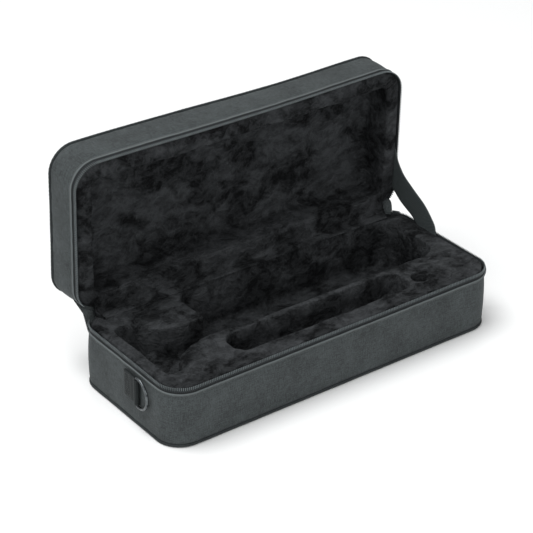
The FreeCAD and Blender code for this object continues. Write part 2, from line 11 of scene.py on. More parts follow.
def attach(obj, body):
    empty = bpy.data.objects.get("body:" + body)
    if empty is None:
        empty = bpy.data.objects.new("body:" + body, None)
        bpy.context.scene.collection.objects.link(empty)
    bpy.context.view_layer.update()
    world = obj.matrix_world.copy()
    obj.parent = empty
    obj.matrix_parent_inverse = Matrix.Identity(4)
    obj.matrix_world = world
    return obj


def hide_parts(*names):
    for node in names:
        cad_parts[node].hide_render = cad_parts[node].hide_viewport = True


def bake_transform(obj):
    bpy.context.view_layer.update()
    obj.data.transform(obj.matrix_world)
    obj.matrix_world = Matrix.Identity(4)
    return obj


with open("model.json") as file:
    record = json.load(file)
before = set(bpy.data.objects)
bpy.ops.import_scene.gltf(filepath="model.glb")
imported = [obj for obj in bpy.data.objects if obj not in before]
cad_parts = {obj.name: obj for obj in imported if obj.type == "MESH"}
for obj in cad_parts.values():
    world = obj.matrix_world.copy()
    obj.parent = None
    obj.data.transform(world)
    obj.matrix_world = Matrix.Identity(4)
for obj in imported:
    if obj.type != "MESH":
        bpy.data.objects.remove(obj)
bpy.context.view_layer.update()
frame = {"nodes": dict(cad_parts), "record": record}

# Points are worked out in millimetres and stored in metres. Both halves are shaped in a half frame:
# outer panel at level 0, zipper edge at the half's height. The lid's points are then turned into place.
metre = 0.001
case = {
    "halfLength": 270.0, "halfDepth": 111.0, "corner": 36.0, "baseHeight": 90.8, "lidHeight": 60.4,
    "partingGap": 1.4, "zipperEndAngle": 45.0,
}
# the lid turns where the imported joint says, so the hinge line and the open angle come from the frame
lidHinge = next(joint for joint in frame["record"]["behaviour"]["joints"] if joint["name"] == "lid_hinge")
case["hingeY"], case["hingeZ"] = (value / metre for value in lidHinge["pos_m"][1:])
case["openAngle"] = lidHinge["range_deg"][1]
case["closedTop"] = case["baseHeight"] + case["partingGap"] + case["lidHeight"]
straightX = case["halfLength"] - case["corner"]
straightY = case["halfDepth"] - case["corner"]
cornerRun = case["corner"] * math.pi / 2
loopLength = 4 * (straightX + straightY + cornerRun)
zipperStart = straightX + case["corner"] * math.radians(case["zipperEndAngle"])
zipperEnd = loopLength - zipperStart


# points and meshes


def outlineAt(run):
    # points and outward normals at runs along the case's outline, anticlockwise from the middle of the back
    run = np.mod(np.asarray(run, float), loopLength)
    stops = np.cumsum([0, straightX, cornerRun, 2 * straightY, cornerRun, 2 * straightX,
                       cornerRun, 2 * straightY, cornerRun, straightX])
    part = np.clip(np.searchsorted(stops, run, side="right") - 1, 0, 8)
    along = run - stops[part]
    quarter = np.array([0, 0, 1, 1, 2, 2, 3, 3, 4])[part]
    turn = np.where(part % 2 == 1, along / case["corner"], 0.0)
    angle = math.pi / 2 * (1 + quarter) + turn
    normal = np.stack([np.cos(angle), np.sin(angle)], -1)
    ahead = np.stack([-normal[:, 1], normal[:, 0]], -1)
    centreX = np.array([0, -1, -1, -1, -1, 1, 1, 1, 1])[part] * straightX
    centreY = np.array([1, 1, 1, -1, -1, -1, -1, 1, 1])[part] * straightY
    point = np.stack([centreX, centreY], -1) + case["corner"] * normal
    point += np.where(part % 2 == 0, along, 0.0)[:, None] * ahead
    return point, normal


def sweep(run, insets, levels):
    # a surface round the case: each column has its inset from the outline and its level
    point, normal = outlineAt(run)
    insets = np.broadcast_to(insets, (len(run), np.shape(insets)[-1]))
    levels = np.broadcast_to(levels, insets.shape)
    flat = point[:, None, :] - insets[:, :, None] * normal[:, None, :]
    return np.concatenate([flat, levels[:, :, None]], -1)


def toLid(points):
    # turns half-frame points over, onto the base, and swings them open about the hinge line
    turn = math.radians(case["openAngle"])
    back = points[..., 1] - case["hingeY"]
    high = case["closedTop"] - points[..., 2] - case["hingeZ"]
    placed = points.copy()
    placed[..., 1] = case["hingeY"] + back * math.cos(turn) + high * math.sin(turn)
    placed[..., 2] = case["hingeZ"] - back * math.sin(turn) + high * math.cos(turn)
    return placed


def softNoise(points, size, seed):
    # smooth random values from -1 to 1 that change over a distance of size
    cell = points / size
    low = np.floor(cell).astype(np.int64)
    share = cell - low
    share = share * share * (3 - 2 * share)
    total = np.zeros(points.shape[:-1])
    for step in itertools.product((0, 1), repeat=3):
        place = low + np.array(step)
        mixed = place[..., 0] * 73856093 ^ place[..., 1] * 19349663
        mixed = mixed ^ place[..., 2] * 83492791 ^ seed * 2654435
        mixed = (mixed ^ (mixed >> 13)) * 1274126177
        value = ((mixed >> 9) & 65535) / 32767.5 - 1
        total += value * np.prod(np.where(np.array(step) == 1, share, 1 - share), axis=-1)
    return total


def smoothStep(value, low, high):
    # 0 below low and 1 above high, with three share squared less two share cubed between
    share = np.clip((value - low) / (high - low), 0, 1)
    return share * share * (3 - 2 * share)


def gridFaces(rows, columns, closeRows=False, closeColumns=False):
    # the corners of each four-sided face of a grid, and its row and column numbers
    lastRow = rows if closeRows else rows - 1
    lastColumn = columns if closeColumns else columns - 1
    row, column = np.meshgrid(np.arange(lastRow), np.arange(lastColumn), indexing="ij")
    row, column = row.ravel(), column.ravel()
    rowSteps = np.stack([row, row + 1, row + 1, row], -1)
    columnSteps = np.stack([column, column, column + 1, column + 1], -1)
    faces = (rowSteps % rows) * columns + columnSteps % columns
    return faces, rowSteps, columnSteps


def addMesh(name, points, faces, material, uv=None, weld=False, flip=False):
    # points in millimetres; uv gives each face corner its place in millimetres on the cloth
    faces = np.asarray(faces)
    if flip:
        faces = faces[:, ::-1]
        uv = None if uv is None else uv[:, ::-1]
    mesh = bpy.data.meshes.new(name)
    mesh.from_pydata((np.asarray(points).reshape(-1, 3) * metre).tolist(), [], faces.tolist())
    if uv is not None:
        layer = mesh.uv_layers.new(name="cloth")
        layer.data.foreach_set("uv", np.ascontiguousarray(uv, np.float32).ravel())
    mesh.polygons.foreach_set("use_smooth", np.ones(len(mesh.polygons), bool))
    if weld:
        work = bmesh.new()
        work.from_mesh(mesh)
        bmesh.ops.remove_doubles(work, verts=work.verts, dist=1e-6)
        bmesh.ops.dissolve_degenerate(work, edges=work.edges, dist=1e-7)
        work.to_mesh(mesh)
        work.free()
    mesh.materials.append(material)
    made = bpy.data.objects.new(name, mesh)
    bpy.context.scene.collection.objects.link(made)
    return made


def addGrid(name, grid, material, rowRun=None, columnRun=None, closeRows=False, closeColumns=False,
            weld=False, flip=False):
    # a mesh of four-sided faces over a grid of points; the runs give its place on the cloth
    faces, rowSteps, columnSteps = gridFaces(grid.shape[0], grid.shape[1], closeRows, closeColumns)
    uv = None
    if rowRun is not None:
        uv = np.stack([np.asarray(rowRun)[rowSteps], np.asarray(columnRun)[columnSteps]], -1)
    return addMesh(name, grid, faces, material, uv, weld, flip)


def runsOf(line, closed=False):
    # the length so far along a line of points, with the way back to the start if it is closed
    ends = np.concatenate([line, line[:1]]) if closed else line
    return np.concatenate([[0], np.cumsum(np.linalg.norm(np.diff(ends, axis=0), axis=1))])


def unit(vectors):
    # vectors divided by their own length
    return vectors / np.linalg.norm(vectors, axis=-1, keepdims=True)


def facingOf(grid):
    # the direction square to a grid at each point: its row step crossed with its column step
    facing = np.cross(np.gradient(grid, axis=0), np.gradient(grid, axis=1))
    return facing / np.maximum(np.linalg.norm(facing, axis=-1, keepdims=True), 1e-9)


def tangents(line, closed=False):
    # the way ahead at each point, from the point before it to the point after
    if closed:
        return unit(np.roll(line, -1, 0) - np.roll(line, 1, 0))
    return unit(np.gradient(line, axis=0))


def sectionSweep(line, section, up, closed=False):
    # a section's (across, out) points carried along a line; up fixes which way out is
    ahead = tangents(line, closed)
    across = unit(np.cross(ahead, up))
    out = np.cross(across, ahead)
    section = np.broadcast_to(section, (len(line),) + np.shape(section)[-2:])
    return line[:, None] + section[..., :1] * across[:, None] + section[..., 1:] * out[:, None]


def circleSection(radius, sides):
    # evenly turned points on a circle: cosine and sine times the radius
    turn = np.arange(sides) / sides * 2 * math.pi
    return np.stack([np.cos(turn), np.sin(turn)], -1) * radius


def bandSection(width, thickness, edgeSteps=4, flatSteps=12):
    # a flat band with round edges, anticlockwise
    half, radius = width / 2 - thickness / 2, thickness / 2
    flat = np.linspace(-half, half, flatSteps)
    turn = np.linspace(-math.pi / 2, math.pi / 2, edgeSteps + 2)[1:-1]
    right = np.stack([half + radius * np.cos(turn), radius * np.sin(turn)], -1)
    low = np.stack([flat, np.full(flatSteps, -radius)], -1)
    return np.concatenate([low, right, -low, -right])


def closeEnds(grid):
    # draws each end of a tube together in a point
    first = np.broadcast_to(grid[:1].mean(1, keepdims=True), grid[:1].shape)
    last = np.broadcast_to(grid[-1:].mean(1, keepdims=True), grid[-1:].shape)
    return np.concatenate([first, grid, last])


def endsTwice(run):
    # the runs that go with closed ends: the first and the last are there twice
    return np.concatenate([run[:1], run, run[-1:]])


def squared(wave, power):
    # a sine or cosine wave raised to a power with its sign kept: the lower the power, the squarer
    return np.sign(wave) * np.abs(wave) ** power


def addTube(name, line, section, up, material, closed=False, flip=False):
    # a section carried along a line, as a closed ring or with its ends drawn together
    grid = sectionSweep(line, section, up, closed)
    rowRun = runsOf(line, closed)
    columnRun = runsOf(np.broadcast_to(section, (len(line),) + np.shape(section)[-2:])[len(line) // 2], True)
    if not closed:
        grid = closeEnds(grid)
        rowRun = endsTwice(rowRun)
    return addGrid(name, grid, material, rowRun, columnRun, closed, True, weld=not closed, flip=flip)


def repeated(template, faces, places, ahead, up):
    # copies of a small shape, given along (ahead, across, up), set at many places
    up = np.broadcast_to(up, places.shape)
    across = unit(np.cross(up, ahead))
    outward = np.cross(ahead, across)
    axes = np.stack([ahead, across, outward], 1)
    points = places[:, None] + np.einsum("vk,pkc->pvc", template, axes)
    shift = (np.arange(len(places)) * len(template))[:, None, None]
    return points.reshape(-1, 3), (np.asarray(faces)[None] + shift).reshape(-1, 4)


def barFaces(rows, sides):
    # faces of a small closed bar made of rings of points, ends included
    faces = gridFaces(rows, sides, closeColumns=True)[0][:, ::-1]
    step = np.arange(sides // 2 - 1)
    cap = np.stack([step, step + 1, sides - 2 - step, sides - 1 - step], -1)
    return np.concatenate([faces, cap[:, ::-1], cap + (rows - 1) * sides])


def threadTemplate(length, radius):
    # one stitch: a short thread whose ends dip into the cloth
    sides = 6
    ahead = np.array([-0.5, -0.36, 0.0, 0.36, 0.5]) * length
    thick = np.array([0.35, 0.9, 1.0, 0.9, 0.35]) * radius
    lift = np.array([-0.9, 0.1, 0.35, 0.1, -0.9]) * radius
    turn = np.arange(sides) / sides * 2 * math.pi
    ring = np.stack([np.zeros(sides), np.cos(turn), np.sin(turn)], -1)
    points = ring[None] * thick[:, None, None]
    points[:, :, 0] = ahead[:, None]
    points[:, :, 2] += lift[:, None]
    return points.reshape(-1, 3), barFaces(len(ahead), sides)


def stitchRow(line, up, length, gap, radius):
    # stitches of one length with even gaps along a line of points
    run = runsOf(line)
    count = max(1, int(round(run[-1] / (length + gap))))
    middle = (np.arange(count) + 0.5) * run[-1] / count
    places = np.stack([np.interp(middle, run, line[:, axis]) for axis in range(3)], -1)
    early = np.stack([np.interp(middle - length / 3, run, line[:, axis]) for axis in range(3)], -1)
    late = np.stack([np.interp(middle + length / 3, run, line[:, axis]) for axis in range(3)], -1)
    upAt = np.asarray(up, float)
    if upAt.ndim == 2:
        upAt = np.stack([np.interp(middle, run, upAt[:, axis]) for axis in range(3)], -1)
    template, faces = threadTemplate(length, radius)
    return repeated(template, faces, places, unit(late - early), upAt)


def joined(parts):
    # several (points, faces) as one
    counts = np.cumsum([0] + [len(points) for points, _ in parts[:-1]])
    points = np.concatenate([points for points, _ in parts])
    faces = np.concatenate([faces + count for (_, faces), count in zip(parts, counts)])
    return points, faces


# materials


def linear(hexText):
    # sRGB hex to linear light: a straight foot, then a power of 2.4
    parts = [int(hexText[place:place + 2], 16) / 255 for place in (1, 3, 5)]
    light = [part / 12.92 if part <= 0.04045 else ((part + 0.055) / 1.055) ** 2.4 for part in parts]
    return tuple(light) + (1.0,)


def addNode(tree, kind, inputs=(), output=0, **settings):
    # adds a node with its settings, links or sets each input that is given, and gives back one of its outputs
    made = tree.nodes.new("ShaderNode" + kind)
    for key, value in settings.items():
        setattr(made, key, value)
    for key, value in inputs.items() if isinstance(inputs, dict) else enumerate(inputs):
        if isinstance(value, bpy.types.NodeSocket):
            tree.links.new(value, made.inputs[key])
        else:
            made.inputs[key].default_value = value
    return made.outputs[output]


def newMaterial(name, roughness, metallic=0.0, sheen=0.0, sheenRoughness=0.5, sheenTint="#ffffff",
                specular=0.5):
    # a named material with its constants on the shader's own sockets
    material = bpy.data.materials.new(name)
    material.use_nodes = True
    tree = material.node_tree
    shader = tree.nodes["Principled BSDF"]
    shader.inputs["Roughness"].default_value = roughness
    shader.inputs["Metallic"].default_value = metallic
    shader.inputs["Specular IOR Level"].default_value = specular
    shader.inputs["Sheen Weight"].default_value = sheen
    shader.inputs["Sheen Roughness"].default_value = sheenRoughness
    shader.inputs["Sheen Tint"].default_value = linear(sheenTint)
    return material, tree, shader


def summed(tree, *parts):
    # adds up values, each times its weight
    total = 0.0
    for value, weight in parts:
        total = addNode(tree, "Math", (value, weight, total), operation="MULTIPLY_ADD")
    return total


def ripple(tree, value, period, slant=0.0):
    # a sine wave from -1 to 1 that repeats every period millimetres
    turn = addNode(tree, "Math", (value, 2 * math.pi / period, slant), operation="MULTIPLY_ADD")
    return addNode(tree, "Math", (turn,), operation="SINE")


def finish(tree, shader, tone, dark, light, low, high, height, depth):
    # dark to light as the tone goes from low to high, and a relief as deep as depth in millimetres
    share = addNode(tree, "MapRange", (tone, low, high))
    colour = addNode(tree, "Mix", {0: share, 6: linear(dark), 7: linear(light)}, 2, data_type="RGBA")
    relief = addNode(tree, "Bump", {"Height": height, "Distance": depth * metre, "Strength": 1.0})
    tree.links.new(colour, shader.inputs["Base Color"])
    tree.links.new(relief, shader.inputs["Normal"])
    return colour


def objectPlace(tree):
    # object coordinates turned from metres into millimetres
    place = addNode(tree, "TexCoord", output="Object")
    return addNode(tree, "VectorMath", {0: place, "Scale": 1 / metre}, operation="SCALE")


def wovenCloth(name, yarn, dark, light, roughness, sheen, depth):
    # plain-woven nylon: a checker of raised yarns (one sine wave times another), short thick and thin yarns,
    # a fine speckle, soft wear, and a painted highlight, paler where the piece's highlight attribute says so
    material, tree, shader = newMaterial(name, roughness, sheen=sheen, sheenRoughness=0.4,
                                         sheenTint="#bcc4c4", specular=0.3)
    place = addNode(tree, "UVMap", uv_map="cloth")
    split = addNode(tree, "SeparateXYZ", (place,)).node.outputs
    waves = addNode(tree, "Math", (ripple(tree, split[0], 2 * yarn), ripple(tree, split[1], 2 * yarn)),
                    operation="MULTIPLY")
    weave = addNode(tree, "Math", (waves, 0.5, 0.5), operation="MULTIPLY_ADD")
    streaks = []
    for scale in ((1 / (2.4 * yarn), 1 / 11, 1), (1 / 11, 1 / (2.4 * yarn), 1)):
        along = addNode(tree, "Mapping", {"Vector": place, "Scale": scale})
        streaks.append(addNode(tree, "TexNoise",
                               {"Vector": along, "Scale": 1.0, "Detail": 3.0, "Roughness": 0.6}))
    speckle = addNode(tree, "TexNoise",
                      {"Vector": place, "Scale": 1 / (2.2 * yarn), "Detail": 3.0, "Roughness": 0.7})
    wear = addNode(tree, "TexNoise", {"Vector": place, "Scale": 1 / 42, "Detail": 3.0, "Roughness": 0.55})
    tone = summed(tree, (streaks[0], 0.21), (streaks[1], 0.21), (wear, 0.16), (speckle, 0.32), (weave, 0.10))
    height = summed(tree, (streaks[0], 0.3), (streaks[1], 0.3), (weave, 1.0))
    colour = finish(tree, shader, tone, dark, light, 0.4, 0.6, height, depth)
    # painted highlight: the colour is mixed towards a pale grey where the attribute marks the fold that
    # catches the light
    paintedHighlight = addNode(tree, "Attribute", output="Fac", attribute_name="paintedHighlight")
    tree.links.new(addNode(tree, "Mix", {0: paintedHighlight, 6: colour, 7: linear("#7b8283")}, 2, data_type="RGBA"),
                   shader.inputs["Base Color"])
    return material


def ribbedWebbing(name, pitch, dark, light, roughness, depth, ribShare=0.4):
    # woven band: ribs across it, columns along it, slanted yarns, and an uneven yarn colour
    # from a stretched noise
    material, tree, shader = newMaterial(name, roughness, sheen=0.06, sheenRoughness=0.4, sheenTint="#c2c8c8",
                                         specular=0.3)
    place = addNode(tree, "UVMap", uv_map="cloth")
    split = addNode(tree, "SeparateXYZ", (place,)).node.outputs
    slant = addNode(tree, "Math", (split[1], 2 * math.pi / pitch), operation="MULTIPLY")
    height = summed(tree, (ripple(tree, split[0], pitch), 0.35), (ripple(tree, split[1], pitch * 1.5), 0.25),
                    (ripple(tree, split[0], pitch * 2, slant), 0.15), (1.0, 0.5))
    along = addNode(tree, "Mapping", {"Vector": place, "Scale": (1 / 0.8, 1 / 5, 1)})
    grain = addNode(tree, "TexNoise", {"Vector": along, "Scale": 1.0, "Detail": 3.0, "Roughness": 0.6})
    tone = summed(tree, (grain, 1 - ribShare), (height, ribShare))
    finish(tree, shader, tone, dark, light, 0.3, 0.7, summed(tree, (grain, 0.3), (height, 1.0)), depth)
    return material


def plushPile(name, dark, light):
    # short pile brushed along the case: broad crushed patches with soft edges, slanting brush strokes
    # and single fibres, drawn about a millimetre wide so that they show
    material, tree, shader = newMaterial(name, 0.95, sheen=0.06, sheenRoughness=0.35, sheenTint="#7d8388",
                                         specular=0.08)
    place = objectPlace(tree)
    wander = addNode(tree, "TexNoise", {"Vector": place, "Scale": 1 / 34, "Detail": 2.0}, 1)
    sway = addNode(tree, "VectorMath", {0: wander, "Scale": 26.0}, operation="SCALE")
    bent = addNode(tree, "VectorMath", {0: place, 1: sway})
    looks = []
    for scale, turn, size, detail, low, high in (((0.75, 1.0, 1.0), 0.3, 44, 4.0, 0.40, 0.60),
                                                 ((0.7, 1.0, 1.0), 0.5, 12, 4.0, 0.36, 0.64),
                                                 ((0.9, 1.0, 1.0), 0.2, 3.4, 3.0, 0.30, 0.70)):
        along = addNode(tree, "Mapping", {"Vector": bent, "Rotation": (0.0, turn, -turn), "Scale": scale})
        spots = addNode(tree, "TexNoise",
                        {"Vector": along, "Scale": 1 / size, "Detail": detail, "Roughness": 0.6})
        looks.append(addNode(tree, "MapRange", (spots, low, high), interpolation_type="SMOOTHSTEP"))
    fibre = addNode(tree, "TexNoise", {"Vector": place, "Scale": 1 / 0.9, "Detail": 3.0, "Roughness": 0.7})
    tone = summed(tree, (looks[0], 0.34), (looks[1], 0.26), (looks[2], 0.16), (fibre, 0.24))
    height = summed(tree, (looks[0], 0.7), (looks[1], 1.1), (looks[2], 0.6), (fibre, 0.5))
    finish(tree, shader, tone, dark, light, 0.2, 0.8, height, 1.4)
    return material


def nylonBead(name, dark, light, roughness):
    # moulded nylon: smooth and a little glossy, with fine dust that dulls it in places
    material, tree, shader = newMaterial(name, roughness)
    place = objectPlace(tree)
    dust = addNode(tree, "TexNoise", {"Vector": place, "Scale": 1 / 9, "Detail": 4.0, "Roughness": 0.6})
    grain = addNode(tree, "TexNoise", {"Vector": place, "Scale": 1 / 0.6, "Detail": 2.0})
    finish(tree, shader, dust, dark, light, 0.3, 0.7, grain, 0.02)
    tree.links.new(addNode(tree, "MapRange", {0: dust, 3: roughness - 0.1, 4: roughness + 0.15}),
                   shader.inputs["Roughness"])
    return material


def darkMetal(name, dark, light, roughness):
    # dark plated metal: bright where light strikes, thin handling scratches and duller rubbed patches
    material, tree, shader = newMaterial(name, roughness, metallic=1.0)
    place = objectPlace(tree)
    rub = addNode(tree, "TexNoise", {"Vector": place, "Scale": 1 / 6, "Detail": 4.0, "Roughness": 0.6})
    along = addNode(tree, "Mapping", {"Vector": place, "Scale": (4.0, 4.0, 0.35)})
    scratch = addNode(tree, "TexNoise", {"Vector": along, "Scale": 1.0, "Detail": 2.0, "Roughness": 0.7})
    finish(tree, shader, rub, dark, light, 0.3, 0.7, scratch, 0.015)
    tree.links.new(addNode(tree, "MapRange", {0: rub, 3: roughness - 0.08, 4: roughness + 0.16}),
                   shader.inputs["Roughness"])
    return material


def sewingThread(name, dark, light):
    # twisted polyester thread: a soft sheen with the twist as a fine change of tone
    material, tree, shader = newMaterial(name, 0.6, sheen=0.2)
    twist = addNode(tree, "TexNoise", {"Vector": objectPlace(tree), "Scale": 1 / 0.5, "Detail": 2.0})
    finish(tree, shader, twist, dark, light, 0.3, 0.7, twist, 0.05)
    return material


# walls, panels, hinge and end tabs: matt cool grey with a visible weave; its yarns are drawn 0.72 mm wide,
# coarser than fine nylon, so that they show
nylonCloth = wovenCloth("wovenNylonCloth", 0.72, "#1e2122", "#4a5051", 0.8, 0.08, 0.10)
# piping: the same cloth, darker and tighter, so that it reads as a thin dark line
pipingCloth = wovenCloth("pipingCloth", 0.6, "#15181a", "#303637", 0.75, 0.06, 0.08)
# zipper tape: near black, darker than the teeth on it
tapeCloth = ribbedWebbing("zipperTapeCloth", 2.7, "#101214", "#292e30", 0.8, 0.18, 0.7)
# strap and handle: dark grey bands with ribs that catch the light
webbingCloth = ribbedWebbing("ribbedWebbing", 1.9, "#212526", "#4a5152", 0.72, 0.22)
# ring tabs: painted shade, a darker copy of the strap's webbing for the side-lit tabs, almost black beside
# the wall
shadedTabWebbing = ribbedWebbing("shadedTabWebbing", 1.9, "#0a0c0d", "#202728", 0.78, 0.22)
# handle wrap: dark, matt and finely woven
gripCloth = wovenCloth("handleWrapCloth", 0.5, "#181b1c", "#2e3233", 0.8, 0.06, 0.08)
# lining: deep black that greys in soft patches where the pile lies over
blackPlush = plushPile("blackPlush", "#0d0e0f", "#3d3f41")
# teeth: black coil beads coloured light grey, a painted highlight for the light they catch, with a slight
# gloss
toothNylonPaintedHighlight = nylonBead("zipperNylon", "#4b5153", "#656d6f", 0.38)
# rings: dark nickel, bright where the light strikes
ringMetal = darkMetal("darkNickelWire", "#3a3d3f", "#6d7274", 0.26)
# slider and pull: darker and duller than the rings, as if enamelled
sliderMetal = darkMetal("darkEnamelledZinc", "#2b2c2e", "#515254", 0.36)
# stitches on the cloth: a little paler than what they hold
clothThread = sewingThread("sewingThread", "#2f3334", "#4d5354")
# stitches on the tabs: painted shade, a darker copy of the sewing thread, seen mostly as relief
shadedTabThread = sewingThread("shadedTabThread", "#15191a", "#2b3233")
print("materials ready")


# the two padded halves

# how far the soft halves stand off square, in millimetres; what ends in At, Wide, From or To is a place
# or a width across the case, as a share of its half length
settle = {
    "wallOut": 0.8, "lidFlare": 1.6, "lidFlareLow": 2.6, "lidTopRight": 1.6,
    "lidDroop": 3.0, "droopAt": 0.3, "droopWide": 0.42, "lidPeak": 1.6, "peakAt": -0.7,
    "rimSagLeft": 6.0, "rimSagRight": 1.0, "sagFrom": -0.45, "sagTo": 0.55,
    "rimLeanIn": 3.0, "leanFrom": 0.74, "baseBow": 0.8, "baseRimDrop": 1.8, "baseLeanIn": 2.5,
}


def softShift(points, isLid):
    # the soft halves are never quite square: the lid bellies out to the left and its free edge droops,
    # by smooth steps and bell curves across the case times powers of the height or the way from the hinge
    moved = points.copy()
    across = points[..., 0] / case["halfLength"]
    if isLid:
        reach = np.clip((case["halfDepth"] - points[..., 1]) / (2 * case["halfDepth"]), 0, 1)
        outer = np.clip(1 - points[..., 2] / case["lidHeight"], 0, 1)
        left = smoothStep(-across, 0.2, 1.0)
        right = smoothStep(across, 0.3, 1.0)
        flare = settle["lidFlare"] + settle["lidFlareLow"] * (1 - reach) ** 2
        moved[..., 0] -= left * (settle["wallOut"] + outer * flare)
        moved[..., 0] -= right * settle["lidTopRight"] * reach ** 2
        droop = settle["lidDroop"] * np.exp(-((across - settle["droopAt"]) / settle["droopWide"]) ** 2)
        droop -= settle["lidPeak"] * np.exp(-((across - settle["peakAt"]) / settle["droopWide"]) ** 2)
        moved[..., 1] += droop * reach ** 2
        # the open rim sags towards the hinge, most at the left, and the left wall leans in with it
        toRim = np.clip(points[..., 2] / case["lidHeight"], 0, 1) ** 1.5
        most = settle["rimSagLeft"] - settle["rimSagRight"]
        sag = settle["rimSagLeft"] - most * smoothStep(across, settle["sagFrom"], settle["sagTo"])
        moved[..., 1] += sag * toRim * reach ** 3
        lean = smoothStep(-across, settle["leanFrom"], 1.0)
        moved[..., 0] += settle["rimLeanIn"] * lean * toRim * (0.5 + 0.5 * reach)
        return moved
    rise = np.clip(points[..., 2] / case["baseHeight"], 0, 1)
    moved[..., 1] += settle["baseBow"] * (1 - across ** 2) * rise ** 2
    front = np.clip((case["halfDepth"] - points[..., 1]) / (2 * case["halfDepth"]), 0, 1) ** 3
    moved[..., 2] -= settle["baseRimDrop"] * (1 - smoothStep(across, 0.2, 0.9)) * front * rise ** 4
    moved[..., 0] += settle["baseLeanIn"] * smoothStep(-across, settle["leanFrom"], 1.0) * rise ** 2
    return moved


def place(points, isLid):
    # half-frame points softly shifted and, for the lid, swung open
    moved = softShift(points, isLid)
    return toLid(moved) if isLid else moved


def loopRuns(step):
    # even runs all the way round the outline, the start not repeated
    return np.linspace(0, loopLength, int(round(loopLength / step)), endpoint=False)


def zipperRuns(step):
    # even runs from one end of the zipper to the other, round the front
    return np.linspace(zipperStart, zipperEnd, int(round((zipperEnd - zipperStart) / step)))


def rearShare(run):
    # 1 behind the two ends of the zipper, 0 along it
    run = np.mod(run, loopLength)
    gap = np.minimum(run, loopLength - run)
    return 1 - smoothStep(gap, zipperStart - 2, zipperStart + 2)


wall = {
    "step": 3.0, "foldDrop": 9.2, "rearDrop": 2.2, "bulge": 0.9, "dent": 0.45, "dentSize": 46.0,
    "pucker": 0.34, "puckerSize": 9.0, "stitchDrop": 5.6, "hemHighlightStrength": 0.42, "stitchLength": 2.7,
    "stitchGap": 0.9, "stitchThick": 0.26, "inner": 1.8, "foot": 5.2, "seamRoom": 1.4,
    "bodyOut": 0.15, "footRise": 1.8, "hemReach": 14.0, "footReach": 12.0,
}


def wallCloth(name, height, isLid, seed, nodes):
    # one half's wall swept round the outline: a foot, a wall bulged by a sine, the folded hem and
    # the way back down inside; dents and puckers are noise along the outward direction
    run = loopRuns(wall["step"])
    drop = wall["foldDrop"] + (wall["rearDrop"] - wall["foldDrop"]) * rearShare(run)
    fold = height - drop
    share = np.linspace(0, 1, 15)
    low = wall["foot"]
    top = fold - wall["stitchDrop"] - wall["seamRoom"]
    start = low + wall["footRise"]
    bodyLevel = start + (top - start)[:, None] * share
    bodyInset = -wall["bodyOut"] - wall["bulge"] * np.sin(math.pi * share) ** 0.8
    bodyInset = np.broadcast_to(bodyInset, bodyLevel.shape)
    foot = np.array([[1.9, low - 1.0], [0.9, low - 0.4], [0.2, low + 0.5]])
    footInset = np.broadcast_to(foot[:, 0], (len(run), 3))
    footLevel = np.broadcast_to(foot[:, 1], (len(run), 3))
    # the folded hem as (inset, level from the fold)
    hem = np.array([[-0.15, -6.8], [0.35, -5.6], [-0.3, -4.5], [-0.95, -3.0], [-1.2, -1.6], [-1.1, -0.6],
                    [-0.4, 0.0], [0.05, -0.3], [0.2, -0.9], [0.25, -2.4]])
    hemInset = np.broadcast_to(hem[:, 0], (len(run), len(hem)))
    hemLevel = fold[:, None] + hem[:, 1]
    back = np.array([[wall["inner"], 0.0], [wall["inner"], 1.0]])
    backLevel = np.stack([fold - 1.0, np.full(len(run), low)], -1)
    backInset = np.broadcast_to(back[:, 0], (len(run), 2))
    insets = np.concatenate([footInset, bodyInset, hemInset, backInset], 1)
    levels = np.concatenate([footLevel, bodyLevel, hemLevel, backLevel], 1)
    grid = sweep(run, insets, levels)
    _, normal = outlineAt(run)
    outward = np.concatenate([normal, np.zeros((len(run), 1))], 1)[:, None]
    inside = smoothStep(levels, low + 1, low + 8) * (1 - smoothStep(levels, top[:, None] - 6, top[:, None]))
    nearHem = smoothStep(levels, top[:, None] - wall["hemReach"], top[:, None])
    nearHem = nearHem * (insets < 1)
    push = wall["dent"] * softNoise(grid, wall["dentSize"], seed) * inside
    nearFoot = 1 - smoothStep(levels, low, low + wall["footReach"])
    puckers = softNoise(grid * np.array([1, 1, 0.35]), wall["puckerSize"], seed + 7)
    push = push + wall["pucker"] * puckers * np.maximum(nearHem, nearFoot) * (insets < 1)
    grid = grid + outward * push[..., None]
    made = addGrid(name, place(grid, isLid), nylonCloth, np.append(run, loopLength),
                   runsOf(np.stack([insets[0], levels[0]], -1), True), True, True, flip=isLid)
    # the folded hem is painted paler, a painted highlight where its rolled edge catches the light, apart from
    # the back, where the hinge cloth covers it
    hemHighlight = np.zeros(grid.shape[1])
    first = footInset.shape[1] + bodyInset.shape[1]
    hemHighlight[first + 3:first + 8] = np.array([0.25, 0.7, 1.0, 1.0, 0.4]) * wall["hemHighlightStrength"]
    paintedHighlight = made.data.attributes.new("paintedHighlight", "FLOAT", "POINT")
    paintedHighlight.data.foreach_set("value", np.outer(1 - rearShare(run), hemHighlight).ravel().astype(np.float32))
    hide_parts(*nodes)
    # one row of stitches round the wall under the hem, facing away from it
    level = (fold - wall["stitchDrop"])[:, None]
    seam = place(sweep(run, [0.16], level), isLid)[:, 0]
    away = unit(place(sweep(run, [-5.0], level), isLid)[:, 0] - seam)
    points, faces = stitchRow(np.append(seam, seam[:1], 0), np.append(away, away[:1], 0),
                              wall["stitchLength"], wall["stitchGap"], wall["stitchThick"])
    stitches = addMesh(name + "Stitches", points, faces, clothThread)
    body = "lid" if isLid else "base"
    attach(made, body)
    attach(stitches, body)


wallCloth("baseWallCloth", case["baseHeight"], False, 11, ["base_wall_cover", "base_foam_shell"])
wallCloth("lidWallCloth", case["lidHeight"], True, 23, ["lid_wall_cover", "lid_foam_shell", "lid_foam_frame"])
print("walls ready")


panel = {"step": 4.0, "rings": 34, "inset": 2.6, "pillow": 2.2, "dent": 0.5, "dentSize": 60.0}


